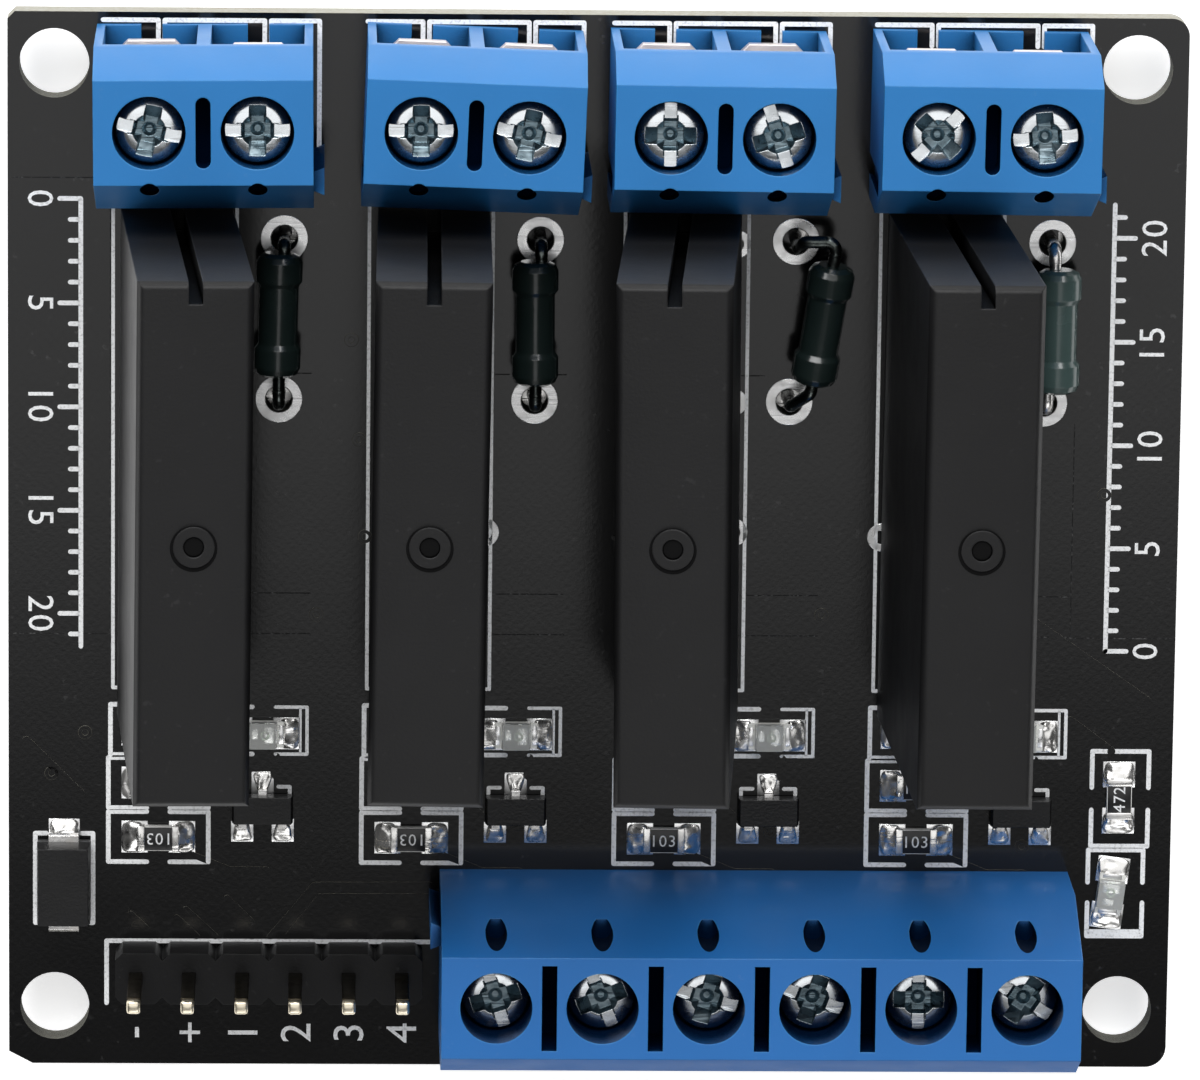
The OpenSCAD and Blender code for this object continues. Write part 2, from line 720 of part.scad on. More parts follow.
circuit_board();
relay_case_1();
relay_case_2();
relay_case_3();
relay_case_4();
relay_leads();
output_housing_1();
output_housing_2();
output_housing_3();
output_housing_4();
input_housing();
output_contacts();
input_contacts();
output_screw_1a();
output_screw_1b();
output_screw_2a();
output_screw_2b();
output_screw_3a();
output_screw_3b();
output_screw_4a();
output_screw_4b();
input_screw_1();
input_screw_2();
input_screw_3();
input_screw_4();
input_screw_5();
input_screw_6();
output_clamp_1a();
output_clamp_1b();
output_clamp_2a();
output_clamp_2b();
output_clamp_3a();
output_clamp_3b();
output_clamp_4a();
output_clamp_4b();
input_clamp_1();
input_clamp_2();
input_clamp_3();
input_clamp_4();
input_clamp_5();
input_clamp_6();
header_insulator();
header_pins();
fuse_body_1();
fuse_body_2();
fuse_body_3();
fuse_body_4();
fuse_leads();
indicator_bases();
indicator_lenses();
indicator_resistors();
gate_resistors();
input_resistors();
power_resistor();
transistor_bodies();
transistor_leads();
diode_body();
diode_leads();
surface_solder();
lead_solder();
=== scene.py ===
"""Looks of a four-channel solid state relay module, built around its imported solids.

The solids keep their places and sizes. This script gives each of them its finish, swaps the
plain ones for detailed pieces, and adds what is printed, etched and soldered on the board.
"""

from __future__ import annotations

import logging
import math
from dataclasses import dataclass, field, replace
from enum import Enum
from typing import Iterable, Sequence

import bmesh
import bpy
from mathutils import Matrix, Vector, noise

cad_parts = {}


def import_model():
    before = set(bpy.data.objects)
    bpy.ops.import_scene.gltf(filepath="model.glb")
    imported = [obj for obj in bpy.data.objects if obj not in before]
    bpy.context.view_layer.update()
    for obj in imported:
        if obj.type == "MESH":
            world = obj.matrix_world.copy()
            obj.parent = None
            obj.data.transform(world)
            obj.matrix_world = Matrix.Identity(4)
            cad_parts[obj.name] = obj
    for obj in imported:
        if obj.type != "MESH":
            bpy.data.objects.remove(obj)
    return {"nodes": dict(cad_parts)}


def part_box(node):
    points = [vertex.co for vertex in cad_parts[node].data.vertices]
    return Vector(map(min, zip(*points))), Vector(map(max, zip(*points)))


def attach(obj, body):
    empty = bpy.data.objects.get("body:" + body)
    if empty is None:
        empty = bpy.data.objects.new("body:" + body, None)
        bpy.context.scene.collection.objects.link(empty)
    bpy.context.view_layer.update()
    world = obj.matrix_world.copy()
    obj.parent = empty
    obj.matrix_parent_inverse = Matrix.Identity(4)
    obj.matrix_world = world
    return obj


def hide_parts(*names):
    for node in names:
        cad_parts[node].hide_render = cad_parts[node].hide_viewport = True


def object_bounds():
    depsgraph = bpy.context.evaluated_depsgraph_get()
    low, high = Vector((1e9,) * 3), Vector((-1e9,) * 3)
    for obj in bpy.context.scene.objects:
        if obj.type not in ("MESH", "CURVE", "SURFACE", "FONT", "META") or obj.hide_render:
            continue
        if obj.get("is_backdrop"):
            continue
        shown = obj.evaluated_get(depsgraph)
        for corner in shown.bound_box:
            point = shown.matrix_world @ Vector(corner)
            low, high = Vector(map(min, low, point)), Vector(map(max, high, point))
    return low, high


log = logging.getLogger("relay_board")

MM = 0.001
BOARD = "board"
CHIP_ROWS = ("indicator_resistors", "gate_resistors", "input_resistors")
SUPPLY_LAMP_TURN = 83.0
FLAT_DEGREES = 0.6
STEP_SHARE = 0.12
FONT_SIZE_PER_HEIGHT = 1.38

Colour = tuple[float, float, float]
Flat = tuple[float, float]
Point = tuple[float, float, float]
Socket = bpy.types.NodeSocket
Vert = bmesh.types.BMVert


# ---------------------------------------------------------------- node trees


class Sketch:
    """A node tree, with short ways to add its nodes and join them."""

    def __init__(self, tree: bpy.types.NodeTree) -> None:
        """Keep the tree and start from nothing in it."""
        self.tree = tree
        self.tree.nodes.clear()
        self.count = 0

    def add(self, kind: str, **settings: object) -> bpy.types.Node:
        """Add one node.

        Args:
            kind: The node's type, without "ShaderNode" in front.
            **settings: Attributes to set on the node.

        Returns:
            The new node.
        """
        prefix = "" if kind.startswith("NodeGroup") else "ShaderNode"
        node = self.tree.nodes.new(prefix + kind)
        node.location = (self.count % 8 * 190, self.count // 8 * -260)
        self.count += 1
        for name, value in settings.items():
            setattr(node, name, value)
        return node

    def put(self, value: object, socket: Socket) -> None:
        """Link an output to the input, or set the input to a value."""
        if isinstance(value, Socket):
            self.tree.links.new(value, socket)
        elif isinstance(value, tuple) and len(value) == 3 and socket.type == "RGBA":
            socket.default_value = (*value, 1)
        else:
            socket.default_value = value

    def feed(self, node: bpy.types.Node, **values: object) -> bpy.types.Node:
        """Set or link inputs by name, with _ for a space.

        Args:
            node: The node whose inputs are set.
            **values: A value, or an output socket to link.

        Returns:
            The same node.
        """
        for name, value in values.items():
            self.put(value, node.inputs[name.replace("_", " ")])
        return node

    def math(self, operation: str, *values: object) -> Socket:
        """Add a Math node with these inputs and return its result."""
        node = self.add("Math", operation=operation)
        for socket, value in zip(node.inputs, values):
            self.put(value, socket)
        return node.outputs[0]

    def dot(self, first: Socket, second: object) -> Socket:
        """Return the dot product of two vectors."""
        node = self.add("VectorMath", operation="DOT_PRODUCT")
        self.put(first, node.inputs[0])
        self.put(second, node.inputs[1])
        return node.outputs["Value"]

    def noise(self, where: Socket, scale: object, detail: float = 3.0) -> Socket:
        """Add a Noise Texture and return its factor."""
        node = self.add("TexNoise")
        return self.feed(node, Vector=where, Scale=scale, Detail=detail).outputs[0]

    def smooth(self, value: Socket, low: object, high: object) -> Socket:
        """Map low..high to 0..1 along a smooth step."""
        node = self.add("MapRange", interpolation_type="SMOOTHSTEP")
        return self.feed(node, Value=value, From_Min=low, From_Max=high).outputs[0]

    def span(self, value: Socket, low: float, high: float) -> Socket:
        """Map 0..1 to low..high along a straight line."""
        node = self.add("MapRange")
        return self.feed(node, Value=value, To_Min=low, To_Max=high).outputs[0]

    def mix(self, share: object, low: object, high: object, blend: str = "MIX") -> Socket:
        """Mix two colours.

        Args:
            share: How much of high, as a number or a socket.
            low: The first colour or socket.
            high: The second colour or socket.
            blend: The blend type.

        Returns:
            The mixed colour's socket.
        """
        node = self.add("Mix", data_type="RGBA", blend_type=blend)
        for index, value in ((0, share), (6, low), (7, high)):
            self.put(value, node.inputs[index])
        return node.outputs[2]

    def grey(self, level: Socket) -> Socket:
        """Return a grey of that level."""
        node = self.add("CombineColor")
        for socket in node.inputs:
            self.put(level, socket)
        return node.outputs[0]

    def split(self, vector: Socket) -> Sequence[Socket]:
        """Return a vector's X, Y and Z."""
        node = self.add("SeparateXYZ")
        self.put(vector, node.inputs[0])
        return node.outputs

    def bump(
        self, height: Socket, strength: float, distance: float, edge: float | None = None
    ) -> Socket:
        """Return a bumped normal.

        Args:
            height: The relief.
            strength: How much of it shows.
            distance: Its depth in metres.
            edge: Radius that sharp edges are shaded with, if they are rounded.

        Returns:
            The normal's socket.
        """
        node = self.add("Bump")
        self.feed(node, Strength=strength, Distance=distance, Height=height)
        if edge is not None:
            bevel = self.feed(self.add("Bevel", samples=6), Radius=edge)
            self.put(bevel.outputs[0], node.inputs["Normal"])
        return node.outputs[0]

    def group(self, name: str, **values: object) -> Socket:
        """Place a shared effect with its own values and return its result."""
        node = self.add("Group")
        node.node_tree = Effects.get(name)
        return self.feed(node, **values).outputs[0]


class Effects:
    """Node groups that several finishes share, each built once.

    Each method draws the effect that it is named after and returns its result. Its inputs, with
    their defaults, and the name and kind of its result stand in the table. None is a vector.
    """

    made: dict[str, bpy.types.NodeTree] = {}
    sockets: dict[str, tuple[dict[str, object], tuple[str, str]]] = {
        "cloudy_tone": (
            {"Where": None, "Colour": (0.5, 0.5, 0.5), "Scale": 200.0, "Amount": 0.1},
            ("Colour", "Color"),
        ),
        "moulded_skin": (
            {"Where": None, "Grain Scale": 9000.0, "Wave Scale": 500.0, "Wave": 0.5},
            ("Height", "Float"),
        ),
        "dust": ({"Where": None, "Scale": 2600.0, "Amount": 0.3}, ("Mask", "Float")),
        "handling_marks": (
            {"Where": None, "Scale": 3000.0, "Stretch": 14.0}, ("Mask", "Float"),
        ),
        "rounded_edge": ({"Radius": 0.0001, "Gain": 3.0}, ("Mask", "Float")),
        "openness": ({"Reach": 0.003, "Low": 0.35, "High": 0.8}, ("Mask", "Float")),
    }

    @classmethod
    def get(cls, name: str) -> bpy.types.NodeTree:
        """Return the effect of that name, building it the first time."""
        if name in cls.made:
            return cls.made[name]
        tree = bpy.data.node_groups.new(name, "ShaderNodeTree")
        inputs, (result, result_kind) = cls.sockets[name]
        for label, default in inputs.items():
            kind = {type(None): "Vector", tuple: "Color"}.get(type(default), "Float")
            socket = tree.interface.new_socket(
                label, in_out="INPUT", socket_type="NodeSocket" + kind
            )
            if default is not None:
                value = (*default, 1) if isinstance(default, tuple) else default
                socket.default_value = value
        tree.interface.new_socket(
            result, in_out="OUTPUT", socket_type="NodeSocket" + result_kind
        )
        sketch = Sketch(tree)
        given = sketch.add("NodeGroupInput").outputs
        out = sketch.add("NodeGroupOutput")
        sketch.put(getattr(cls, name)(sketch, given), out.inputs[0])
        cls.made[name] = tree
        return tree

    @staticmethod
    def cloudy_tone(sketch: Sketch, given: dict[str, Socket]) -> Socket:
        """A colour that drifts a little lighter and darker over the surface."""
        cloud = sketch.noise(given["Where"], given["Scale"], 4.0)
        swing = sketch.math("MULTIPLY", sketch.math("SUBTRACT", cloud, 0.5), 2.0)
        level = sketch.math("MULTIPLY_ADD", swing, given["Amount"], 1.0)
        return sketch.mix(1.0, given["Colour"], sketch.grey(level), "MULTIPLY")

    @staticmethod
    def moulded_skin(sketch: Sketch, given: dict[str, Socket]) -> Socket:
        """Height of a moulded skin: fine grain on slow waves."""
        grain = sketch.noise(given["Where"], given["Grain Scale"], 2.0)
        wave = sketch.noise(given["Where"], given["Wave Scale"], 1.0)
        return sketch.math("MULTIPLY_ADD", wave, given["Wave"], grain)

    @staticmethod
    def dust(sketch: Sketch, given: dict[str, Socket]) -> Socket:
        """Mask of fine settled specks, only on faces that look up."""
        spots = sketch.smooth(sketch.noise(given["Where"], given["Scale"], 2.0), 0.64, 0.78)
        spread = sketch.smooth(sketch.noise(given["Where"], 260.0, 2.0), 0.35, 0.7)
        facing = sketch.split(sketch.add("NewGeometry").outputs["Normal"])
        up = sketch.smooth(facing[2], 0.3, 0.9)
        mask = sketch.math("MULTIPLY", sketch.math("MULTIPLY", spots, spread), up)
        return sketch.math("MULTIPLY", mask, given["Amount"])

    @staticmethod
    def handling_marks(sketch: Sketch, given: dict[str, Socket]) -> Socket:
        """Mask of short crossing scratches, stretched noise at three angles."""
        along = sketch.math("DIVIDE", given["Scale"], given["Stretch"])
        lines = []
        for turn in (0.35, 1.25, 2.3):
            spread = sketch.add("CombineXYZ")
            for socket, value in zip(spread.inputs, (along, given["Scale"], along)):
                sketch.put(value, socket)
            mapping = sketch.add("Mapping")
            mapping.inputs["Rotation"].default_value = (0.15, 0.1, turn)
            sketch.feed(mapping, Vector=given["Where"], Scale=spread.outputs[0])
            lines.append(sketch.smooth(sketch.noise(mapping.outputs[0], 1.0, 2.0), 0.6, 0.72))
        first, second, third = lines
        return sketch.math("MAXIMUM", sketch.math("MAXIMUM", first, second), third)

    @staticmethod
    def rounded_edge(sketch: Sketch, given: dict[str, Socket]) -> Socket:
        """Mask of sharp edges, from how far a rounded normal leans off the true one."""
        bevel = sketch.feed(sketch.add("Bevel", samples=4), Radius=given["Radius"])
        true_normal = sketch.add("NewGeometry").outputs["Normal"]
        lean = sketch.math("SUBTRACT", 1.0, sketch.dot(bevel.outputs[0], true_normal))
        return sketch.math("MINIMUM", sketch.math("MULTIPLY", lean, given["Gain"]), 1.0)

    @staticmethod
    def openness(sketch: Sketch, given: dict[str, Socket]) -> Socket:
        """How open the surface lies: 0 deep in a hole or slot, 1 on the outside."""
        around = sketch.add("AmbientOcclusion", samples=6, only_local=True)
        sketch.feed(around, Distance=given["Reach"])
        return sketch.smooth(around.outputs["AO"], given["Low"], given["High"])


# ------------------------------------------------------------------ finishes


@dataclass(frozen=True)
class Finish:
    """What every finish has: a name, a colour and how its skin scatters light."""

    name: str
    colour: Colour
    rough: float = 0.5
    cloud: float = 0.06
    cloud_scale: float = 300.0
    dust: float = 0.0
    edge: float = 0.00006
    # Colour of painted shade deep in holes and slots; None for no painted shade.
    recess: Colour | None = None
    reach: Point = (0.0032, 0.35, 0.8)

    def hollow(self, sketch: Sketch, tone: Socket) -> tuple[Socket, Socket | None]:
        """Paint shade into the tone in holes and slots, and return how open each spot lies."""
        if not self.recess:
            return tone, None
        reach, low, high = self.reach
        mask = sketch.group("openness", Reach=reach, Low=low, High=high)
        return sketch.mix(mask, self.recess, tone), mask

    def make(self) -> bpy.types.Material:
        """Build the material once and return it afterwards."""
        if self.name in Finishes.made:
            return Finishes.made[self.name]
        material = bpy.data.materials.new(self.name)
        Finishes.made[self.name] = material
        material.use_nodes = True
        sketch = Sketch(material.node_tree)
        place = sketch.add("TexCoord").outputs["Object"]
        shader = sketch.add("BsdfPrincipled")
        sketch.put(shader.outputs[0], sketch.add("OutputMaterial").inputs[0])
        self.paint(sketch, shader, place)
        return material

    def tone(self, sketch: Sketch, place: Socket) -> Socket:
        """Return the drifting colour, with settled dust where there is some."""
        tone = sketch.group(
            "cloudy_tone", Where=place, Colour=self.colour, Scale=self.cloud_scale,
            Amount=self.cloud,
        )
        if self.dust:
            mask = sketch.group("dust", Where=place, Amount=self.dust)
            tone = sketch.mix(mask, tone, (0.5, 0.5, 0.5))
        return tone

    def paint(self, sketch: Sketch, shader: bpy.types.Node, place: Socket) -> None:
        """Join the shader's inputs.

        Args:
            sketch: The material's nodes.
            shader: Its Principled shader.
            place: The surface's position on the object.
        """
        raise NotImplementedError


@dataclass(frozen=True)
class Moulding(Finish):
    """Moulded plastic, epoxy or resin skin."""

    grain: float = 0.1
    grain_scale: float = 9000.0
    wave: float = 0.4
    coat: float = 0.0
    worn: Colour | None = None
    rough_swing: float = 0.08
    sheen: float = 0.5

    def paint(self, sketch: Sketch, shader: bpy.types.Node, place: Socket) -> None:
        """Grain and waves as bump, cloudy roughness, paler rubbed edges, painted shade and less
        sheen in hollows.
        """
        tone = self.tone(sketch, place)
        if self.worn:
            rim = sketch.group("rounded_edge", Radius=0.00012, Gain=2.2)
            patch = sketch.smooth(sketch.noise(place, 900.0), 0.3, 0.75)
            tone = sketch.mix(sketch.math("MULTIPLY", rim, patch), tone, self.worn)
        tone, mask = self.hollow(sketch, tone)
        # Sheen is cut in hollows, as painted shade of their reflections.
        sheen = self.sheen if mask is None else sketch.math("MULTIPLY", mask, self.sheen)
        skin = sketch.group(
            "moulded_skin", Where=place, Grain_Scale=self.grain_scale, Wave=self.wave
        )
        low, high = self.rough - self.rough_swing, self.rough + self.rough_swing
        sketch.feed(
            shader,
            Base_Color=tone,
            Roughness=sketch.span(sketch.noise(place, 420.0), low, high),
            Specular_IOR_Level=sheen,
            Normal=sketch.bump(skin, self.grain, 0.00005, self.edge),
            Coat_Weight=self.coat,
            Coat_Roughness=0.12,
        )


@dataclass(frozen=True)
class Plating(Finish):
    """Bare or plated metal with marks from handling."""

    tarnish: Colour = (0.3, 0.28, 0.25)
    tarnish_share: float = 0.25
    marks: float = 0.25
    bump: float = 0.15
    patch_dulling: float = 0.18

    def paint(self, sketch: Sketch, shader: bpy.types.Node, place: Socket) -> None:
        """Tarnish in patches, brighter scratches and uneven shine."""
        patch = sketch.smooth(sketch.noise(place, 1100.0, 4.0), 0.45, 0.75)
        share = sketch.math("MULTIPLY", patch, self.tarnish_share)
        tone = sketch.mix(share, self.tone(sketch, place), self.tarnish)
        marks = sketch.group("handling_marks", Where=place)
        height = sketch.math("MULTIPLY_ADD", marks, -0.5, sketch.noise(place, 2400.0, 2.0))
        shine = sketch.span(patch, self.rough, self.rough + self.patch_dulling)
        sketch.feed(
            shader,
            Base_Color=tone,
            Roughness=sketch.math("MULTIPLY_ADD", marks, self.marks, shine),
            Normal=sketch.bump(height, self.bump, 0.00003, self.edge),
            Metallic=1.0,
        )


@dataclass(frozen=True)
class MaskedLaminate(Finish):
    """Woven glass laminate with a dark mask on both faces and pale cut edges."""

    cut: Colour = (0.46, 0.46, 0.42)
    resin: Colour = (0.36, 0.34, 0.27)
    cut_rough: float = 0.85
    ply_rate: float = 31000.0
    weave_rate: float = 11500.0

    def paint(self, sketch: Sketch, shader: bpy.types.Node, place: Socket) -> None:
        """Mask where the face is level, fibres in plies where it is cut."""
        facing = sketch.split(sketch.add("NewGeometry").outputs["True Normal"])
        level = sketch.smooth(sketch.math("ABSOLUTE", facing[2]), 0.5, 0.8)
        waves = [
            sketch.math("SINE", sketch.math("MULTIPLY", axis, rate))
            for axis, rate in zip(
                sketch.split(place), (self.weave_rate, self.weave_rate, self.ply_rate)
            )
        ]
        threads = sketch.noise(place, 5200.0, 2.0)
        fibre = sketch.smooth(
            sketch.math("MULTIPLY_ADD", waves[2], 0.18, threads), 0.3, 0.75
        )
        # Painted shade darkens the cut walls deep in holes.
        cut = self.hollow(sketch, sketch.mix(fibre, self.resin, self.cut))[0]
        skin = sketch.group(
            "moulded_skin", Where=place, Grain_Scale=7000.0, Wave_Scale=380.0, Wave=1.6
        )
        weave = sketch.math("MULTIPLY", waves[0], waves[1])
        height = sketch.math("MULTIPLY_ADD", weave, 0.12, skin)
        rough = sketch.mix(level, (self.cut_rough,) * 3, (self.rough,) * 3)
        smudge = sketch.span(sketch.noise(place, 160.0), 0.9, 1.12)
        sketch.feed(
            shader,
            Base_Color=sketch.mix(level, cut, self.tone(sketch, place)),
            Roughness=sketch.math("MULTIPLY", rough, smudge),
            Normal=sketch.bump(height, 0.035, 0.00003),
        )


@dataclass(frozen=True)
class Ink(Finish):
    """Screen-printed ink: matt, with pinholes and ragged cover."""

    thin: Colour = (0.2, 0.2, 0.2)
    holes: float = 0.35
    thin_rough: float = 0.75

    def paint(self, sketch: Sketch, shader: bpy.types.Node, place: Socket) -> None:
        """Cover that thins out in fine pinholes."""
        cover = sketch.smooth(sketch.noise(place, 6500.0), 0.3, 0.52)
        thin = sketch.math("MULTIPLY", sketch.math("SUBTRACT", 1.0, cover), self.holes)
        sketch.feed(
            shader,
            Base_Color=sketch.mix(thin, self.tone(sketch, place), self.thin),
            Roughness=sketch.span(cover, self.thin_rough, self.rough),
            Normal=sketch.bump(cover, 0.2, 0.00002),
        )


@dataclass(frozen=True)
class ClearResin(Finish):
    """Clear cast resin of a lamp's lens, a little milky."""

    milk: float = 0.25

    def paint(self, sketch: Sketch, shader: bpy.types.Node, place: Socket) -> None:
        """Plain transmission with faint swirls in the skin."""
        swirl = sketch.noise(place, 1500.0)
        sketch.feed(
            shader,
            Base_Color=self.tone(sketch, place),
            Roughness=sketch.span(swirl, self.rough, self.rough + 0.14),
            Normal=sketch.bump(swirl, 0.12, 0.00004),
            Transmission_Weight=1.0 - self.milk,
            IOR=1.5,
        )


class Finishes:
    """Every finish of the module, by the piece that wears it."""

    made: dict[str, bpy.types.Material] = {}

    # The board's hollow colour is painted shade on the walls of its holes.
    board = MaskedLaminate("board_mask", (0.002, 0.002, 0.0022), 0.13, 0.12, 120.0, 0.05,
                           recess=(0.05, 0.05, 0.04), reach=(0.004, 0.62, 0.92))
    step = Ink("mask_step", (0.002, 0.002, 0.0022), 0.85, 0.1, 700.0)
    ink = Ink("printed_ink", (0.93, 0.94, 0.95), 0.55, 0.08, 700.0)
    pad = Plating("tinned_pad", (0.97, 0.97, 0.97), 0.26, 0.05, 900.0, 0, 0.00004,
                  tarnish=(0.6, 0.58, 0.55), tarnish_share=0.2, marks=0.05, bump=0.1)
    solder = Plating("solder_fillet", (0.9, 0.89, 0.87), 0.24, 0.1, 800.0, 0, 0.00008,
                     tarnish=(0.4, 0.38, 0.36), tarnish_share=0.35, marks=0.03, bump=0.4)
    # The relay's hollow colour is painted shade in the corners of its moulded ring.
    relay = Moulding("relay_epoxy", (0.0075, 0.0075, 0.008), 0.5, 0.14, 220.0, 0.025, 0.00012,
                     recess=(0.001, 0.001, 0.001), reach=(0.0007, 0.5, 0.9), grain=0.24,
                     grain_scale=6500.0, wave=0.9, worn=(0.045, 0.045, 0.047), sheen=0.3)
    ring_shade = Moulding("relay_ring_shade", (0.002, 0.002, 0.0022), 0.6, 0.1, 400.0, sheen=0.1)
    # The housings' hollow colour is painted shade, dark navy, in their wells and slots.
    blue = Moulding("blue_moulding", (0.017, 0.178, 0.475), 0.42, 0.06, 240.0, 0.03, 0.00009,
                    recess=(0.001, 0.008, 0.03), reach=(0.0036, 0.45, 0.92), grain=0.07,
                    grain_scale=5200.0, wave=2.4, worn=(0.08, 0.36, 0.72), sheen=0.45)
    blue_long = replace(blue, name="blue_moulding_long", colour=(0.016, 0.15, 0.46))
    # The input housing's front slope: darker blue with almost no sheen, as painted shade that hides
    # its reflection.
    blue_front = replace(blue, name="blue_moulding_front_shade", colour=(0.012, 0.12, 0.39), sheen=0.02)
    vent = Moulding("vent_shade", (0.001, 0.006, 0.02), 0.6, 0.1, 400.0, sheen=0.1)
    steel = Plating("zinc_screw", (0.86, 0.9, 0.93), 0.2, 0.08, 900.0, 0, 0.00004,
                    tarnish=(0.5, 0.54, 0.57), tarnish_share=0.2, marks=0.06, bump=0.1)
    # Steel of the screws' cross recess and pit, darkened as painted shade.
    recess = Plating("screw_recess_shade", (0.17, 0.235, 0.27), 0.26, 0.35, 2600.0, 0, 0.00006,
                     tarnish=(0.42, 0.5, 0.54), tarnish_share=0.6, marks=0.1, bump=0.6)
    nickel = Plating("nickel_clamp", (0.95, 0.88, 0.86), 0.4, 0.06, 700.0, 0, 0.00008,
                     tarnish=(0.75, 0.66, 0.6), tarnish_share=0.2, marks=0.1, bump=0.15)
    tin = Plating("tinned_copper", (0.82, 0.81, 0.8), 0.22, 0.1, 900.0, 0, 0.00005,
                  tarnish=(0.42, 0.36, 0.28), tarnish_share=0.3, marks=0.1, bump=0.3)
    dark_wire = Plating("sooty_wire", (0.11, 0.125, 0.12), 0.22, 0.3, 900.0, 0, 0.00006,
                        tarnish=(0.015, 0.018, 0.018), tarnish_share=0.6, marks=0.1, bump=0.4)
    nylon = Moulding("header_nylon", (0.005, 0.005, 0.0055), 0.4, 0.1, 500.0, 0.05, 0.00006,
                     grain=0.2, grain_scale=7000.0, wave=0.8, worn=(0.03, 0.03, 0.03), sheen=0.22)
    gilt = Plating("gilt_tip", (0.95, 0.86, 0.68), 0.28, 0.1, 900.0, 0, 0.00006,
                   tarnish=(0.6, 0.5, 0.35), marks=0.1, bump=0.2)
    # Gilt pin shafts painted dark, as a painted reflection of the dark board.
    shaft = Plating("gilt_shaft_painted_reflection", (0.05, 0.042, 0.028), 0.3, 0.2, 900.0, 0, 0.00006,
                    tarnish=(0.02, 0.017, 0.012), tarnish_share=0.5, marks=0.1, bump=0.2)
    enamel_dark = Moulding("fuse_enamel_dark", (0.011, 0.019, 0.018), 0.24, 0.25, 420.0, 0.03,
                           0.0001, grain=0.12, grain_scale=2600.0, wave=1.5, coat=0.5)
    enamel_teal = Moulding("fuse_enamel_teal", (0.05, 0.084, 0.08), 0.26, 0.22, 420.0, 0.04,
                           0.0001, grain=0.12, grain_scale=2600.0, wave=1.5, coat=0.5)
    lamp_white = Moulding("lamp_base_white", (0.88, 0.88, 0.84), 0.4, 0.06, 900.0, 0.0, 0.00004,
                          grain=0.08, wave=0.5, coat=0.1)
    lens = ClearResin("lamp_lens_clear", (0.95, 0.97, 0.94), 0.06, 0.04, 900.0, milk=0.42)
    phosphor = Moulding("lamp_die_cup", (0.45, 0.6, 0.4), 0.3, 0.15, 2600.0, 0.0, 0.00004,
                        grain=0.1, wave=0.5, coat=0.2)
    ceramic = Moulding("chip_ceramic", (0.82, 0.81, 0.79), 0.5, 0.05, 1200.0, 0.0, 0.00003,
                       grain=0.12, grain_scale=12000.0)
    glaze = Moulding("chip_glaze", (0.008, 0.008, 0.0085), 0.3, 0.12, 900.0, 0.04, 0.00004,
                     grain=0.1, wave=0.8, coat=0.1)
    epoxy = Moulding("small_case_epoxy", (0.009, 0.009, 0.0095), 0.3, 0.14, 700.0, 0.06,
                     0.00006, grain=0.16, grain_scale=8000.0, wave=0.6, sheen=0.35,
                     worn=(0.03, 0.03, 0.031))


# ------------------------------------------------------------ places and shapes


@dataclass(frozen=True)
class Box:
    """A solid's box in millimetres."""

    low: Vector
    high: Vector

    @property
    def middle(self) -> Vector:
        """Centre of the box."""
        return (self.low + self.high) / 2

    @property
    def size(self) -> Vector:
        """Lengths of the box's sides."""
        return self.high - self.low


class Cad:
    """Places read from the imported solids, in millimetres."""

    def __init__(self, nodes: dict[str, bpy.types.Object]) -> None:
        """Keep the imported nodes."""
        self.nodes = nodes
        self.known: dict[str, list[Box]] = {}

    def box(self, node: str) -> Box:
        """Return a node's box."""
        low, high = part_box(node)
        return Box(Vector(low) / MM, Vector(high) / MM)

    def merged(self, node: str) -> bmesh.types.BMesh:
        """Return a node's triangles as one joined mesh, in millimetres."""
        mesh = bmesh.new()
        mesh.from_mesh(self.nodes[node].data)
        bmesh.ops.scale(mesh, vec=(1 / MM,) * 3, verts=mesh.verts)
        bmesh.ops.remove_doubles(mesh, verts=mesh.verts, dist=0.0005)
        return mesh

    def solids(self, node: str) -> list[Box]:
        """Return the box of each separate solid of a node, from left to right."""
        if node in self.known:
            return self.known[node]
        mesh = self.merged(node)
        left = set(mesh.verts)
        boxes: list[Box] = []
        while left:
            reached = [left.pop()]
            for vert in reached:
                for edge in vert.link_edges:
                    other = edge.other_vert(vert)
                    if other in left:
                        left.discard(other)
                        reached.append(other)
            ends = [[function(v.co[axis] for v in reached) for axis in range(3)]
                    for function in (min, max)]
            boxes.append(Box(Vector(ends[0]), Vector(ends[1])))
        mesh.free()
        self.known[node] = sorted(boxes, key=lambda box: (round(box.middle.x, 1), box.middle.y))
        return self.known[node]


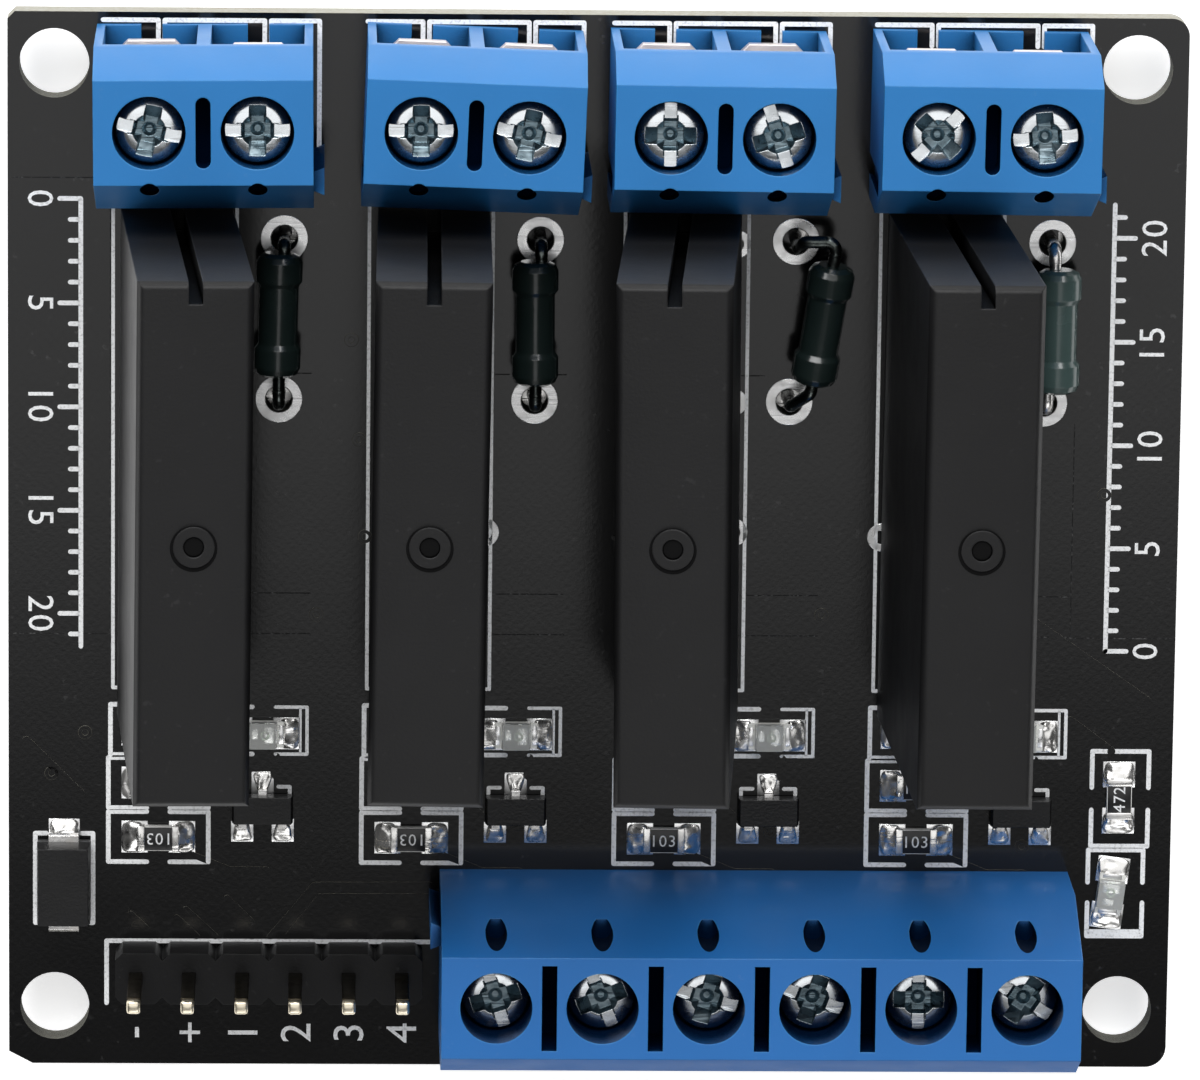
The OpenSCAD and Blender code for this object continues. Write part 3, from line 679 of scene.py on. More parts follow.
class Shape:
    """A mesh in millimetres, built with operators, that becomes one piece."""

    def __init__(self, mesh: bmesh.types.BMesh | None = None) -> None:
        """Start from a mesh, or from nothing."""
        self.mesh = bmesh.new() if mesh is None else mesh

    def place(self, verts: Iterable[Vert], matrix: Matrix) -> None:
        """Move new vertices to their place."""
        bmesh.ops.transform(self.mesh, matrix=matrix, verts=list(verts))

    def flatten(self) -> None:
        """Join the triangles of each flat face."""
        bmesh.ops.dissolve_limit(
            self.mesh, angle_limit=math.radians(FLAT_DEGREES), use_dissolve_boundaries=False,
            verts=self.mesh.verts, edges=self.mesh.edges, delimit={"NORMAL"},
        )

    def bevel(self, edges: Sequence[bmesh.types.BMEdge], width: float, slide: bool) -> list[Vert]:
        """Bevel some edges and return the vertices of the new faces.

        Args:
            edges: The edges.
            width: Width of the bevel.
            slide: Whether its ends slide along the neighbouring edges.
        """
        return bmesh.ops.bevel(
            self.mesh, geom=edges, offset=width, offset_type="OFFSET", segments=2, profile=0.5,
            affect="EDGES", material=-1, clamp_overlap=True, loop_slide=slide,
        )["verts"]

    def block(
        self, middle: Sequence[float], size: Sequence[float], turn: float = 0.0,
        round_off: float = 0.0,
    ) -> None:
        """Add a block.

        Args:
            middle: Its centre.
            size: Its length, width and height.
            turn: Degrees about Z.
            round_off: Width of its bevelled edges.
        """
        made = set(bmesh.ops.create_cube(self.mesh, size=1.0)["verts"])
        self.place(made, Matrix.Diagonal((*size, 1)))
        if round_off:
            edges = [edge for edge in self.mesh.edges if made.issuperset(edge.verts)]
            rounded = self.bevel(edges, round_off, False)
            made = {vert for vert in made if vert.is_valid} | set(rounded)
        self.place(made, Matrix.Translation(middle) @ about_z(turn))

    def rod(
        self, start: Sequence[float], end: Sequence[float], radius: float, tip: float,
        sides: int = 10,
    ) -> None:
        """Add a round rod or cone.

        Args:
            start: Centre of its first end.
            end: Centre of its other end.
            radius: Radius at the start.
            tip: Radius at the end.
            sides: Faces around it.
        """
        first, last = Vector(start), Vector(end)
        made = bmesh.ops.create_cone(
            self.mesh, cap_ends=True, segments=sides, radius1=radius, radius2=tip,
            depth=(last - first).length,
        )["verts"]
        turn = Vector((0, 0, 1)).rotation_difference(last - first).to_matrix().to_4x4()
        self.place(made, Matrix.Translation((first + last) / 2) @ turn)

    def lathe(
        self, profile: Sequence[Flat], centre: Sequence[float], steps: int = 40
    ) -> list[Vert]:
        """Spin a profile of (radius, height) about a vertical axis.

        Args:
            profile: Its points, from one end to the other.
            centre: Where height 0 of the axis lies.
            steps: Faces around it.

        Returns:
            Its vertices.
        """
        before = set(self.mesh.verts)
        points = [self.mesh.verts.new((radius, 0, height)) for radius, height in profile]
        edges = [self.mesh.edges.new(pair) for pair in zip(points, points[1:])]
        bmesh.ops.spin(
            self.mesh, geom=points + edges, cent=(0, 0, 0), axis=(0, 0, 1),
            angle=math.tau, steps=steps, use_merge=True, use_duplicate=False,
        )
        made = [vert for vert in self.mesh.verts if vert not in before]
        bmesh.ops.remove_doubles(self.mesh, verts=made, dist=0.0002)
        made = [vert for vert in self.mesh.verts if vert not in before]
        self.place(made, Matrix.Translation(centre))
        return made

    def ring(self, centre: Sequence[float], inner: float, outer: float, height: float) -> None:
        """Add a flat ring with softened rims, standing on its centre's level."""
        rim = min(height * 0.6, 0.03)
        self.lathe(
            [(inner, 0), (inner, height - rim), (inner + rim, height), (outer - rim, height),
             (outer, height - rim), (outer, 0), (inner, 0)],
            centre,
        )

    def stroke(self, points: Sequence[Flat], level: float, width: float, height: float) -> None:
        """Draw a line of flat bars with round joints, no two neighbours equally high.

        Args:
            points: Its corners.
            level: Height of the face it lies on.
            width: Its width.
            height: Its thickness.
        """
        for index, (a, b) in enumerate(zip(points, points[1:])):
            span = Vector(b) - Vector(a)
            tall = height * (1 + STEP_SHARE * (index % 2))
            self.block(
                (*(Vector(a) + Vector(b)) / 2, level + tall / 2), (span.length, width, tall),
                math.degrees(math.atan2(span.y, span.x)),
            )
        for index, (x, y) in enumerate(points):
            tall = height * (1 + STEP_SHARE / 2 + STEP_SHARE * (index % 2))
            self.rod((x, y, level), (x, y, level + tall), width / 2, width / 2)

    def add(self, other: bmesh.types.BMesh, matrix: Matrix) -> None:
        """Add a copy of another mesh, moved by a matrix."""
        step = bpy.data.meshes.new("step")
        other.to_mesh(step)
        step.transform(matrix)
        self.mesh.from_mesh(step)
        bpy.data.meshes.remove(step)

    def piece(
        self, name: str, finishes: Finish | Sequence[Finish], smooth: float = 30.0,
        instead_of: Sequence[str] = (), slot: str = "", body: str = BOARD, level: bool = False,
    ) -> bpy.types.Object:
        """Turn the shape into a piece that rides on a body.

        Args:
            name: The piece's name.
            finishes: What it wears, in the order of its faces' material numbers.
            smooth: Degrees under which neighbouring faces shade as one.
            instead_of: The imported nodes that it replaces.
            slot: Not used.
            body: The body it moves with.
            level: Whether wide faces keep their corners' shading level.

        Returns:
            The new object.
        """
        bmesh.ops.recalc_face_normals(self.mesh, faces=self.mesh.faces)
        bmesh.ops.scale(self.mesh, vec=(MM,) * 3, verts=self.mesh.verts)
        limit = math.radians(smooth)
        for face in self.mesh.faces:
            face.smooth = True
        for edge in self.mesh.edges:
            edge.smooth = edge.is_manifold and edge.calc_face_angle(0.0) < limit
        made = placed_object(name, self.mesh, finishes)
        if level:
            made.modifiers.new("level_faces", "WEIGHTED_NORMAL").keep_sharp = True
        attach(made, body)
        if instead_of:
            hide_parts(*instead_of)
        log.info("%s: %d faces", name, len(made.data.polygons))
        return made


def about_z(degrees: float) -> Matrix:
    """Return a turn about Z."""
    return Matrix.Rotation(math.radians(degrees), 4, "Z")


def flat(point: Vector) -> Flat:
    """Return a point's X and Y."""
    return point.x, point.y


def placed_object(
    name: str, mesh: bmesh.types.BMesh, finishes: Finish | Sequence[Finish] = ()
) -> bpy.types.Object:
    """Make an object of a mesh, link it to the scene, and free the mesh."""
    data = bpy.data.meshes.new(name)
    mesh.to_mesh(data)
    mesh.free()
    for finish in [finishes] if isinstance(finishes, Finish) else finishes:
        data.materials.append(finish.make())
    made = bpy.data.objects.new(name, data)
    bpy.context.scene.collection.objects.link(made)
    return made


@dataclass
class Assembly:
    """What every sub-assembly has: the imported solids, and the board's two faces."""

    cad: Cad

    @property
    def top(self) -> float:
        """Height of the board's upper face."""
        return self.cad.box("circuit_board").high.z

    @property
    def under(self) -> float:
        """Height of the board's lower face."""
        return self.cad.box("circuit_board").low.z

    def seats(self) -> list[tuple[Box, float, bool]]:
        """Return each chip and lamp: its box, its turn, and whether it is a lamp."""
        chips = [(box, 0.0, False) for node in CHIP_ROWS for box in self.cad.solids(node)]
        chips.append((self.cad.solids("power_resistor")[0], 90.0, False))
        *row, supply = self.cad.solids("indicator_bases")
        return chips + [(box, 0.0, True) for box in row] + [(supply, SUPPLY_LAMP_TURN, True)]

    def dress(self, node: str, finish: Finish) -> None:
        """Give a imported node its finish."""
        data = self.cad.nodes[node].data
        data.materials.clear()
        data.materials.append(finish.make())
        log.info("%s wears %s", node, finish.name)


# ----------------------------------------------------------------- the studio


@dataclass
class Studio:
    """Pale floor, soft light from above and behind, and the camera over the board."""

    lens: float = 281.0
    place: Point = (-13.29, 88.40, 440.1)
    tilt: float = -0.205
    sway: float = -0.027
    roll: float = 0.005
    shift: Flat = (0.0272, 0.0467)
    sky_range: Flat = (0.06, 1.05)
    patch: Point = (0.0, 0.4226, 0.9063)
    patch_fade: Flat = (0.786, 0.808)
    aim: Point = (0, 0, 8)
    lamps: tuple[tuple[str, Point, Flat, float], ...] = (
        ("north_bank", (-60, 430, 330), (620, 300), 3.3),
        ("south_fill", (30, -400, 380), (700, 250), 1.15),
    )
    floor_reach: float = 1500.0
    floor_glow: float = 0.6

    def camera(self) -> None:
        """Set the camera at the viewing angle, with its narrow lens."""
        data = bpy.data.cameras.new("camera")
        data.lens = self.lens
        data.sensor_width = 36.0
        data.sensor_fit = "HORIZONTAL"
        data.shift_x, data.shift_y = self.shift
        data.clip_start, data.clip_end = 0.01, 20.0
        eye = bpy.data.objects.new("camera", data)
        turn = (
            Matrix.Rotation(self.tilt, 4, "X")
            @ Matrix.Rotation(self.sway, 4, "Y")
            @ Matrix.Rotation(self.roll, 4, "Z")
        )
        eye.matrix_world = Matrix.Translation(Vector(self.place) * MM) @ turn
        bpy.context.scene.collection.objects.link(eye)
        bpy.context.scene.camera = eye

    def lamp(self, name: str, place: Point, size: Flat, power: float) -> None:
        """Hang a soft rectangular lamp that looks at the module.

        Args:
            name: Its name.
            place: Where it hangs, in millimetres.
            size: Its sides, in millimetres.
            power: Its power in watts.
        """
        data = bpy.data.lights.new(name, "AREA")
        data.shape = "RECTANGLE"
        data.size, data.size_y = size[0] * MM, size[1] * MM
        data.energy = power
        lamp = bpy.data.objects.new(name, data)
        look = (Vector(self.aim) - Vector(place)).to_track_quat("-Z", "Y").to_matrix().to_4x4()
        lamp.matrix_world = Matrix.Translation(Vector(place) * MM) @ look
        bpy.context.scene.collection.objects.link(lamp)

    def sky(self) -> None:
        """Light the world from a broad soft patch, white where it is looked at directly."""
        world = bpy.data.worlds.new("studio")
        bpy.context.scene.world = world
        world.use_nodes = True
        sketch = Sketch(world.node_tree)
        path = sketch.add("LightPath").outputs
        around = sketch.add("TexCoord").outputs["Generated"]
        toward = sketch.dot(around, Vector(self.patch).normalized())
        glow = sketch.span(sketch.smooth(toward, *self.patch_fade), *self.sky_range)
        seen = sketch.math("MAXIMUM", path["Is Camera Ray"], path["Is Transmission Ray"])
        background = sketch.add("Background")
        sketch.feed(background, Color=(1.0, 1.0, 1.0), Strength=sketch.math("MAXIMUM", glow, seen))
        sketch.put(background.outputs[0], sketch.add("OutputWorld").inputs[0])

    def floor(self, level: float) -> None:
        """Lay a pale floor that keeps the shadow."""
        shape = Shape()
        grid = bmesh.ops.create_grid(
            shape.mesh, x_segments=1, y_segments=1, size=self.floor_reach
        )["verts"]
        shape.place(grid, Matrix.Translation((0, 0, level)))
        bmesh.ops.scale(shape.mesh, vec=(MM,) * 3, verts=shape.mesh.verts)
        ground = placed_object("floor", shape.mesh)
        material = bpy.data.materials.new("pale_floor")
        material.use_nodes = True
        sketch = Sketch(material.node_tree)
        path = sketch.add("LightPath").outputs
        bounced = sketch.math("MAXIMUM", path["Is Glossy Ray"], path["Is Transmission Ray"])
        seen = sketch.math("MAXIMUM", path["Is Camera Ray"], bounced)
        paper = sketch.noise(sketch.add("TexCoord").outputs["Object"], 40.0, 2.0)
        shader = sketch.feed(
            sketch.add("BsdfPrincipled"),
            Base_Color=sketch.grey(sketch.span(paper, 0.93, 0.96)),
            Roughness=0.9,
            Emission_Color=(1.0, 1.0, 1.0),
            Emission_Strength=sketch.math("MULTIPLY", seen, self.floor_glow),
        )
        sketch.put(shader.outputs[0], sketch.add("OutputMaterial").inputs[0])
        ground.data.materials.append(material)
        ground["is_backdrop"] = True

    def build(self, level: float) -> None:
        """Set up the camera, the lamps, the sky and the floor."""
        bpy.context.scene.view_settings.view_transform = "Standard"
        self.camera()
        for lamp in self.lamps:
            self.lamp(*lamp)
        self.sky()
        self.floor(level)


# ------------------------------------------------------------- the circuit board


class Reads(Enum):
    """Which way a line of print runs."""

    ACROSS = 0.0
    UPWARDS = 90.0
    DOWNWARDS = -90.0
    TURNED = 180.0


def lettering(
    shape: Shape, text: str, height: float, middle: Point, reads: Reads, thick: float = 0.02
) -> None:
    """Add a line of plain figures, centred on a point.

    Args:
        shape: The shape it is added to.
        text: The figures or signs.
        height: Height of a figure.
        middle: Centre of the line, on the face it is printed on.
        reads: Which way it runs.
        thick: Thickness of the ink.
    """
    curve = bpy.data.curves.new("figures", "FONT")
    curve.body = text
    curve.size = height * FONT_SIZE_PER_HEIGHT
    curve.extrude = thick / 2
    curve.resolution_u = 3
    curve.space_character = 1.1
    holder = bpy.data.objects.new("figures", curve)
    mesh = bpy.data.meshes.new_from_object(holder)
    points = [v.co for v in mesh.vertices]
    centre = Vector([(min(p[k] for p in points) + max(p[k] for p in points)) / 2 for k in range(3)])
    step = bmesh.new()
    step.from_mesh(mesh)
    place = Matrix.Translation(Vector(middle) + Vector((0, 0, thick / 2)))
    shape.add(step, place @ about_z(reads.value) @ Matrix.Translation(-centre))
    step.free()
    bpy.data.objects.remove(holder)
    bpy.data.curves.remove(curve)
    bpy.data.meshes.remove(mesh)


@dataclass
class Printing(Assembly):
    """White print on the board: outlines of the parts, signs and two plain scales.

    Every outline is a list of corners, counted from the middle of what it frames.
    """

    line: float = 0.22
    thick: float = 0.03
    opening: float = 0.55
    chip_reach: float = 1.23
    chip_reaches: tuple[float, float, float] = (2.29, 2.39, 2.39)
    power_reach: Flat = (2.33, 1.36)
    lamp_outlines: tuple[tuple[float, tuple[Flat, ...]], ...] = (
        (0.22, ((-0.5, 1.28), (-2.41, 1.28), (-2.41, -1.02), (-0.5, -1.02))),
        (0.16, ((0.6, 1.28), (2.11, 1.28), (2.11, -1.02), (0.6, -1.02))),
        (0.12, ((1.79, 1.28), (1.79, -1.02))),
    )
    supply_outlines: tuple[tuple[Flat, ...], ...] = (
        ((-1.32, 0.5), (-1.32, 2.1), (1.32, 2.1), (1.32, 0.5)),
        ((-1.32, -0.5), (-1.32, -2.15), (1.32, -2.15), (1.32, -0.5)),
        ((-1.32, -1.93), (1.32, -1.93)),
    )
    diode_corners: tuple[Flat, ...] = ((0.85, 2.2), (1.38, 2.2), (1.38, -2.2), (0.85, -2.2))
    transistor_corners: tuple[Flat, ...] = ((0.75, 0.98), (1.3, 0.98), (1.3, 0.58))
    relay_outline: Flat = (5.85, 24.6)
    relay_south: float = -7.0
    block_front: float = 25.12
    block_spans: tuple[Flat, ...] = ((-5.08, -2.48), (-2.18, 2.52), (2.82, 5.1))
    scale_x: Flat = (-25.35, 25.45)
    scale_y: Flat = (-5.0, 16.6)
    scale_gap: float = 0.95
    figure: float = 1.25
    sign: float = 1.5
    sign_y: float = -23.95
    signs: tuple[str, ...] = ("-", "+", "1", "2", "3", "4")

    def draw(
        self, shape: Shape, points: Iterable[Flat], middle: Flat = (0, 0),
        wide: float | None = None, side: int = 1,
    ) -> None:
        """Draw one line of print on the board's upper face.

        Args:
            shape: The print.
            points: The line's corners.
            middle: Where they are counted from.
            wide: The line's width, if it isn't the usual one.
            side: -1 to draw it mirrored in X.
        """
        corners = [(middle[0] + side * x, middle[1] + y) for x, y in points]
        shape.stroke(corners, self.top, wide or self.line, self.thick)

    def brackets(self, shape: Shape, middle: Flat, reach: Flat, upright: bool = False) -> None:
        """Draw two facing brackets round a chip.

        Args:
            shape: The print.
            middle: Centre of the chip.
            reach: Half lengths along and across it.
            upright: Whether the chip stands along Y.
        """
        long, wide = reach
        for side in (-1, 1):
            corners = [(side * self.opening, wide), (side * long, wide), (side * long, -wide),
                       (side * self.opening, -wide)]
            if upright:
                corners = [(y, x) for x, y in corners]
            self.draw(shape, corners, middle)

    def chips(self, shape: Shape) -> None:
        """Draw the brackets of the chips and the lamps, each lamp with its bar."""
        for node, long in zip(CHIP_ROWS, self.chip_reaches):
            for box in self.cad.solids(node):
                self.brackets(shape, flat(box.middle), (long, self.chip_reach))
        power = self.cad.solids("power_resistor")[0].middle
        self.brackets(shape, (power.x + 0.06, power.y - 0.06), self.power_reach, True)
        *row, supply = self.cad.solids("indicator_bases")
        for box in row:
            for wide, corners in self.lamp_outlines:
                self.draw(shape, corners, flat(box.middle), wide)
        for corners in self.supply_outlines:
            self.draw(shape, corners, (supply.middle.x + 0.25, supply.middle.y))

    def blocks(self, shape: Shape) -> None:
        """Draw round the relays, and what shows round the output blocks."""
        leads = [box.middle.x for box in self.cad.solids("relay_leads")]
        wide, tall = self.relay_outline
        for number in range(1, 5):
            case = self.cad.box(f"relay_case_{number}").middle.x
            mine = [x for x in leads if abs(x - case) < 5.5]
            corners = ((-wide / 2, tall), (-wide / 2, 0), (wide / 2, 0), (wide / 2, tall))
            self.draw(shape, corners, (sum(mine) / len(mine), self.relay_south), 0.17)
            block = self.cad.box(f"output_housing_{number}")
            front = self.block_front
            for index, (left, right) in enumerate(self.block_spans):
                points = [(left, front), (right, front)]
                if index > 0:
                    points.insert(0, (left, front - 1.0))
                last = index == len(self.block_spans) - 1
                points.append((right, block.low.y + 1.6 if last else front - 1.0))
                self.draw(shape, points, (block.middle.x, 0))

    def small_parts(self, shape: Shape) -> None:
        """Draw round the transistors, the diode and the header."""
        diode = flat(self.cad.box("diode_body").middle)
        for side in (-1, 1):
            for body in self.cad.solids("transistor_bodies"):
                self.draw(shape, self.transistor_corners, flat(body.middle), 0.18, side)
            self.draw(shape, self.diode_corners, diode, side=side)
        head = self.cad.box("header_insulator")
        left, back = head.low.x - 0.45, head.high.y + 0.02
        self.draw(shape, ((left, head.low.y - 0.55), (left, back), (head.high.x + 0.35, back)))

    def scales(self, shape: Shape) -> None:
        """Draw a plain millimetre scale down each side."""
        low, high = self.scale_y
        for side, x, reads in ((-1, self.scale_x[0], Reads.DOWNWARDS),
                               (1, self.scale_x[1], Reads.UPWARDS)):
            edge = x - side * self.scale_gap
            self.draw(shape, ((edge, low), (edge, high)))
            for mark in range(int(high - low) + 1):
                y = high - mark if side < 0 else low + mark
                fifth = mark % 5 == 0
                self.draw(shape, ((edge, y), (edge + side * (1.0 if fifth else 0.5), y)))
                if fifth:
                    spot = (x + side * self.scale_gap, y, self.top)
                    lettering(shape, str(mark), self.figure, spot, reads)

    def build(self) -> None:
        """Draw all of the print as one piece."""
        shape = Shape()
        self.chips(shape)
        self.blocks(shape)
        self.small_parts(shape)
        self.scales(shape)
        for pin, sign in zip(self.cad.solids("header_pins"), self.signs):
            spot = (pin.middle.x + 0.02, self.sign_y, self.top)
            lettering(shape, sign, self.sign, spot, Reads.UPWARDS)
        shape.piece("board_print", Finishes.ink)


@dataclass
class Copper(Assembly):
    """Tinned pads, and the copper that shows as relief under the mask."""

    pad_thick: float = 0.03
    relief: float = 0.035
    sunk: float = 0.004
    chip_pad: Point = (0.5, 1.77, 0.78)
    transistor_pads: tuple[Flat, ...] = ((0, 1.15), (-0.97, -1.15), (0.97, -1.15))
    transistor_pad: Flat = (1.08, 1.15)
    diode_pads: tuple[tuple[float, Flat], ...] = ((2.2, (1.5, 1.45)), (-1.85, (1.5, 0.75)))
    fuse_ring: Flat = (0.64, 1.125)
    pin_ring: Flat = (0.52, 0.9)
    spare_ring: Flat = (0.32, 0.68)
    spare: tuple[Flat, ...] = (
        (-5.19, 0.64), (6.61, 14.6), (6.51, 7.0), (6.63, 0.7), (13.69, 0.49), (18.2, 0.55),
    )
    via_ring: Flat = (0.14, 0.34)
    vias: tuple[Flat, ...] = (
        (-11.2, 5.1), (-11.6, 9.9), (-10.9, 0.4), (24.3, 2.6), (-24.2, -9.2), (-3.6, -13.6),
        (8.6, -13.9), (20.7, -14.6), (-13.2, -3.4), (10.9, -3.3), (-25.8, -11.2),
    )
    pour_step: Flat = (0.055, 0.012)
    side_pours: tuple[tuple[Flat, ...], ...] = (
        ((-27.6, -4.38), (-23.0, -4.38), (-23.0, 17.6), (-27.6, 17.6)),
        ((27.6, -4.38), (22.8, -4.38), (22.8, 6.0)),
    )
    channel_pours: tuple[tuple[Flat, ...], ...] = (
        ((-3.2, -2.36), (2.4, -2.36)), ((-3.2, -4.33), (2.4, -4.33)),
        ((-3.2, 8.28), (-0.3, 8.28)), ((1.6, 8.28), (2.4, 8.28)),
    )
    pour_x: tuple[float, ...] = (-15.9, -3.8, 8.3, 20.3)
    tracks: tuple[tuple[float, tuple[Flat, ...]], ...] = (
        (0.3, ((-15.36, -19.24), (-13.22, -16.65), (-7.69, -16.62))),
        (0.3, ((-14.45, -19.12), (-12.94, -17.21), (-7.69, -17.19))),
        (0.3, ((-22.02, -18.1), (-21.29, -18.8))),
        (0.3, ((-19.82, -18.28), (-18.86, -19.19))),
        (0.3, ((-19.37, -17.87), (-17.96, -19.19))),
        (0.3, ((-17.4, -17.3), (-16.2, -18.5), (-16.2, -19.2))),
        (0.4, ((21.06, -3.57), (26.59, -7.43))),
        (0.4, ((-27.0, -9.6), (-24.4, -12.2))),
        (0.4, ((22.9, -8.4), (24.9, -9.9))),
    )
    channel_tracks: tuple[tuple[float, tuple[Flat, ...]], ...] = (
        (0.3, ((1.2, -15.0), (3.4, -15.9), (5.2, -15.9))),
        (0.3, ((2.6, -12.4), (3.6, -13.4), (4.1, -13.4))),
        (0.5, ((5.6, -10.4), (5.6, -11.2))),
    )
    track_x: tuple[float, ...] = (-20.7, -8.6, 3.5, 15.6)
    first_lane: float = -15.4
    lane: float = 0.75
    supply_width: float = 0.42
    load_width: float = 1.6

    def pad(self, shape: Shape, middle: Flat, size: Flat, turn: float = 0.0) -> None:
        """Lay one pad on the upper face."""
        shape.block((*middle, self.top + self.pad_thick / 2), (*size, self.pad_thick), turn,
                    self.pad_thick * 0.45)

    def fuse_spots(self) -> list[Flat]:
        """Return where the fuse leads pass through the board."""
        cones = [cone.middle for cone in self.cad.solids("lead_solder")]
        bodies = [self.cad.box(f"fuse_body_{number}").middle for number in range(1, 5)]
        return [
            flat(cone) for body in bodies for cone in cones
            if abs(cone.x - body.x) < 2.2 and 2.5 < abs(cone.y - body.y) < 5.2
        ]

    def pads(self) -> None:
        """Lay every tinned pad, on both faces."""
        shape = Shape()
        inner, outer, half = self.chip_pad
        for box, turn, _ in self.seats():
            for way in (turn, turn + 180.0):
                along = about_z(way) @ Vector(((inner + outer) / 2, 0, 0))
                self.pad(shape, flat(box.middle + along), (outer - inner, half * 2), turn)
        for body in self.cad.solids("transistor_bodies"):
            for x, y in self.transistor_pads:
                self.pad(shape, (body.middle.x + x, body.middle.y + y), self.transistor_pad)
        diode = self.cad.box("diode_body").middle
        for y, size in self.diode_pads:
            self.pad(shape, (diode.x, diode.y + y), size)
        pins = [flat(pin.middle) for pin in self.cad.solids("header_pins")]
        for ring, spots in ((self.fuse_ring, self.fuse_spots()), (self.spare_ring, self.spare),
                            (self.pin_ring, pins)):
            for spot in spots:
                shape.ring((*spot, self.top), *ring, self.pad_thick)
        for cone in self.cad.solids("lead_solder"):
            rim = max(cone.size.x, cone.size.y) / 2
            shape.ring((*flat(cone.middle), self.under - self.pad_thick), rim - 0.12, rim + 0.26,
                       self.pad_thick)
        shape.piece("tinned_pads", Finishes.pad)

    def upper_copper(self) -> None:
        """Raise the masked tracks of the upper face, and draw the steps of its wide copper."""
        raised, steps = Shape(), Shape()
        level = self.top - self.sunk
        for points in self.side_pours:
            steps.stroke(points, level, *self.pour_step)
        for x in self.pour_x:
            for points in self.channel_pours:
                steps.stroke([(x + px, py) for px, py in points], level, *self.pour_step)
        for width, points in self.tracks:
            raised.stroke(points, level, width, self.relief)
        for x in self.track_x:
            for width, points in self.channel_tracks:
                raised.stroke([(x + px, py) for px, py in points], level, width, self.relief)
        for spot in self.vias:
            raised.ring((*spot, level), *self.via_ring, self.relief)
        raised.piece("masked_copper", Finishes.board)
        steps.piece("copper_steps", Finishes.step)

    def lower_copper(self) -> None:
        """Raise the masked tracks of the lower face."""
        shape = Shape()
        level = self.under - self.relief + self.sunk
        spots = sorted((flat(cone.middle) for cone in self.cad.solids("lead_solder")))
        south = [spot for spot in spots if spot[1] < -17]
        pins = [spot for spot in south if spot[0] < -7]
        terminals = [spot for spot in south if spot[0] > -7]
        for index, (pin, terminal) in enumerate(zip(pins, terminals)):
            lane = self.first_lane + self.lane * index
            shape.stroke(
                (pin, (pin[0], lane - 1.0), (pin[0] + 1.0, lane), (terminal[0] - 1.0, lane),
                 (terminal[0], lane - 1.0), terminal),
                level, self.supply_width, self.relief,
            )
        for x, y in spots:
            if y > 17 and any(
                abs(x - self.cad.box(f"output_housing_{number}").middle.x) < 4
                for number in range(1, 5)
            ):
                shape.stroke(((x, y), (x, 15.8), (x + 0.8, 14.9)), level, self.load_width,
                             self.relief)
        shape.piece("masked_copper_under", Finishes.board)

    def build(self) -> None:
        """Lay the pads and raise the copper."""
        self.pads()
        self.upper_copper()
        self.lower_copper()


# ---------------------------------------------------------- terminals and screws


@dataclass
class ScrewHead:
    """Zinc-plated head with a full slot and a flared cross round a tapered pit."""

    radius: float = 1.55
    height: float = 1.15
    dome: tuple[Flat, ...] = (
        (0.06, 0.03), (0, 0.09), (0, 0.64), (0.025, 0.76), (0.08, 0.87), (0.16, 0.965),
        (0.26, 1.04), (0.4, 1.095), (0.58, 1.13),
    )
    slot: Flat = (0.58, 0.36)
    arms: tuple[Flat, Flat] = ((0.98, 0.36), (1.34, 0.43))
    foot: Flat = (0.6, 0.3)
    depth: float = 0.62
    bowl: Point = (0.8, 0.16, 0.86)

    def cutter(self) -> Shape:
        """Build what is cut out of the head: slot, flared arms and bowl."""
        shape = Shape()
        top = self.height
        width, deep = self.slot
        shape.block((0, 0, top - deep + 0.5), (self.radius * 2 + 1, width, 1.0))
        level = set(shape.mesh.faces)
        for turn, (long, half) in zip((0, 90), self.arms):
            made = bmesh.ops.create_cube(shape.mesh, size=2.0)["verts"]
            for vert in made:
                upper = vert.co.z > 0
                vert.co.x *= long + 0.1 if upper else self.foot[0]
                vert.co.y *= half if upper else self.foot[1]
                vert.co.z = top + 0.15 if upper else top - self.depth
            shape.place(made, about_z(turn))
        wide, narrow, deep = self.bowl
        shape.rod((0, 0, top - deep), (0, 0, top + 0.02), narrow, wide, 28)
        # The cross and bowl wear the darkened recess steel as painted shade; the slot keeps bright
        # steel.
        for face in shape.mesh.faces:
            face.material_index = 0 if face in level else 1
        return shape

    def head(self) -> Shape:
        """Spin the domed head."""
        shape = Shape()
        side = [(self.radius - inset, height) for inset, height in self.dome]
        profile = [(0, side[0][1]), *side, (0.4, self.height), (0, self.height)]
        shape.lathe(profile, (0, 0, 0), 64)
        return shape

    def cut(self) -> bmesh.types.BMesh:
        """Cut the slot and cross from the head."""
        objects = []
        for name, shape in (("head", self.head()), ("cutter", self.cutter())):
            bmesh.ops.recalc_face_normals(shape.mesh, faces=shape.mesh.faces)
            made = placed_object(name, shape.mesh, (Finishes.steel, Finishes.recess))
            objects.append(made)
        head, cutter = objects
        boolean = head.modifiers.new("cut", "BOOLEAN")
        boolean.operation, boolean.solver, boolean.object = "DIFFERENCE", "EXACT", cutter
        boolean.use_self = True
        bpy.context.view_layer.update()
        result = bmesh.new()
        result.from_object(head, bpy.context.evaluated_depsgraph_get())
        for made in objects:
            data = made.data
            bpy.data.objects.remove(made)
            bpy.data.meshes.remove(data)
        return result


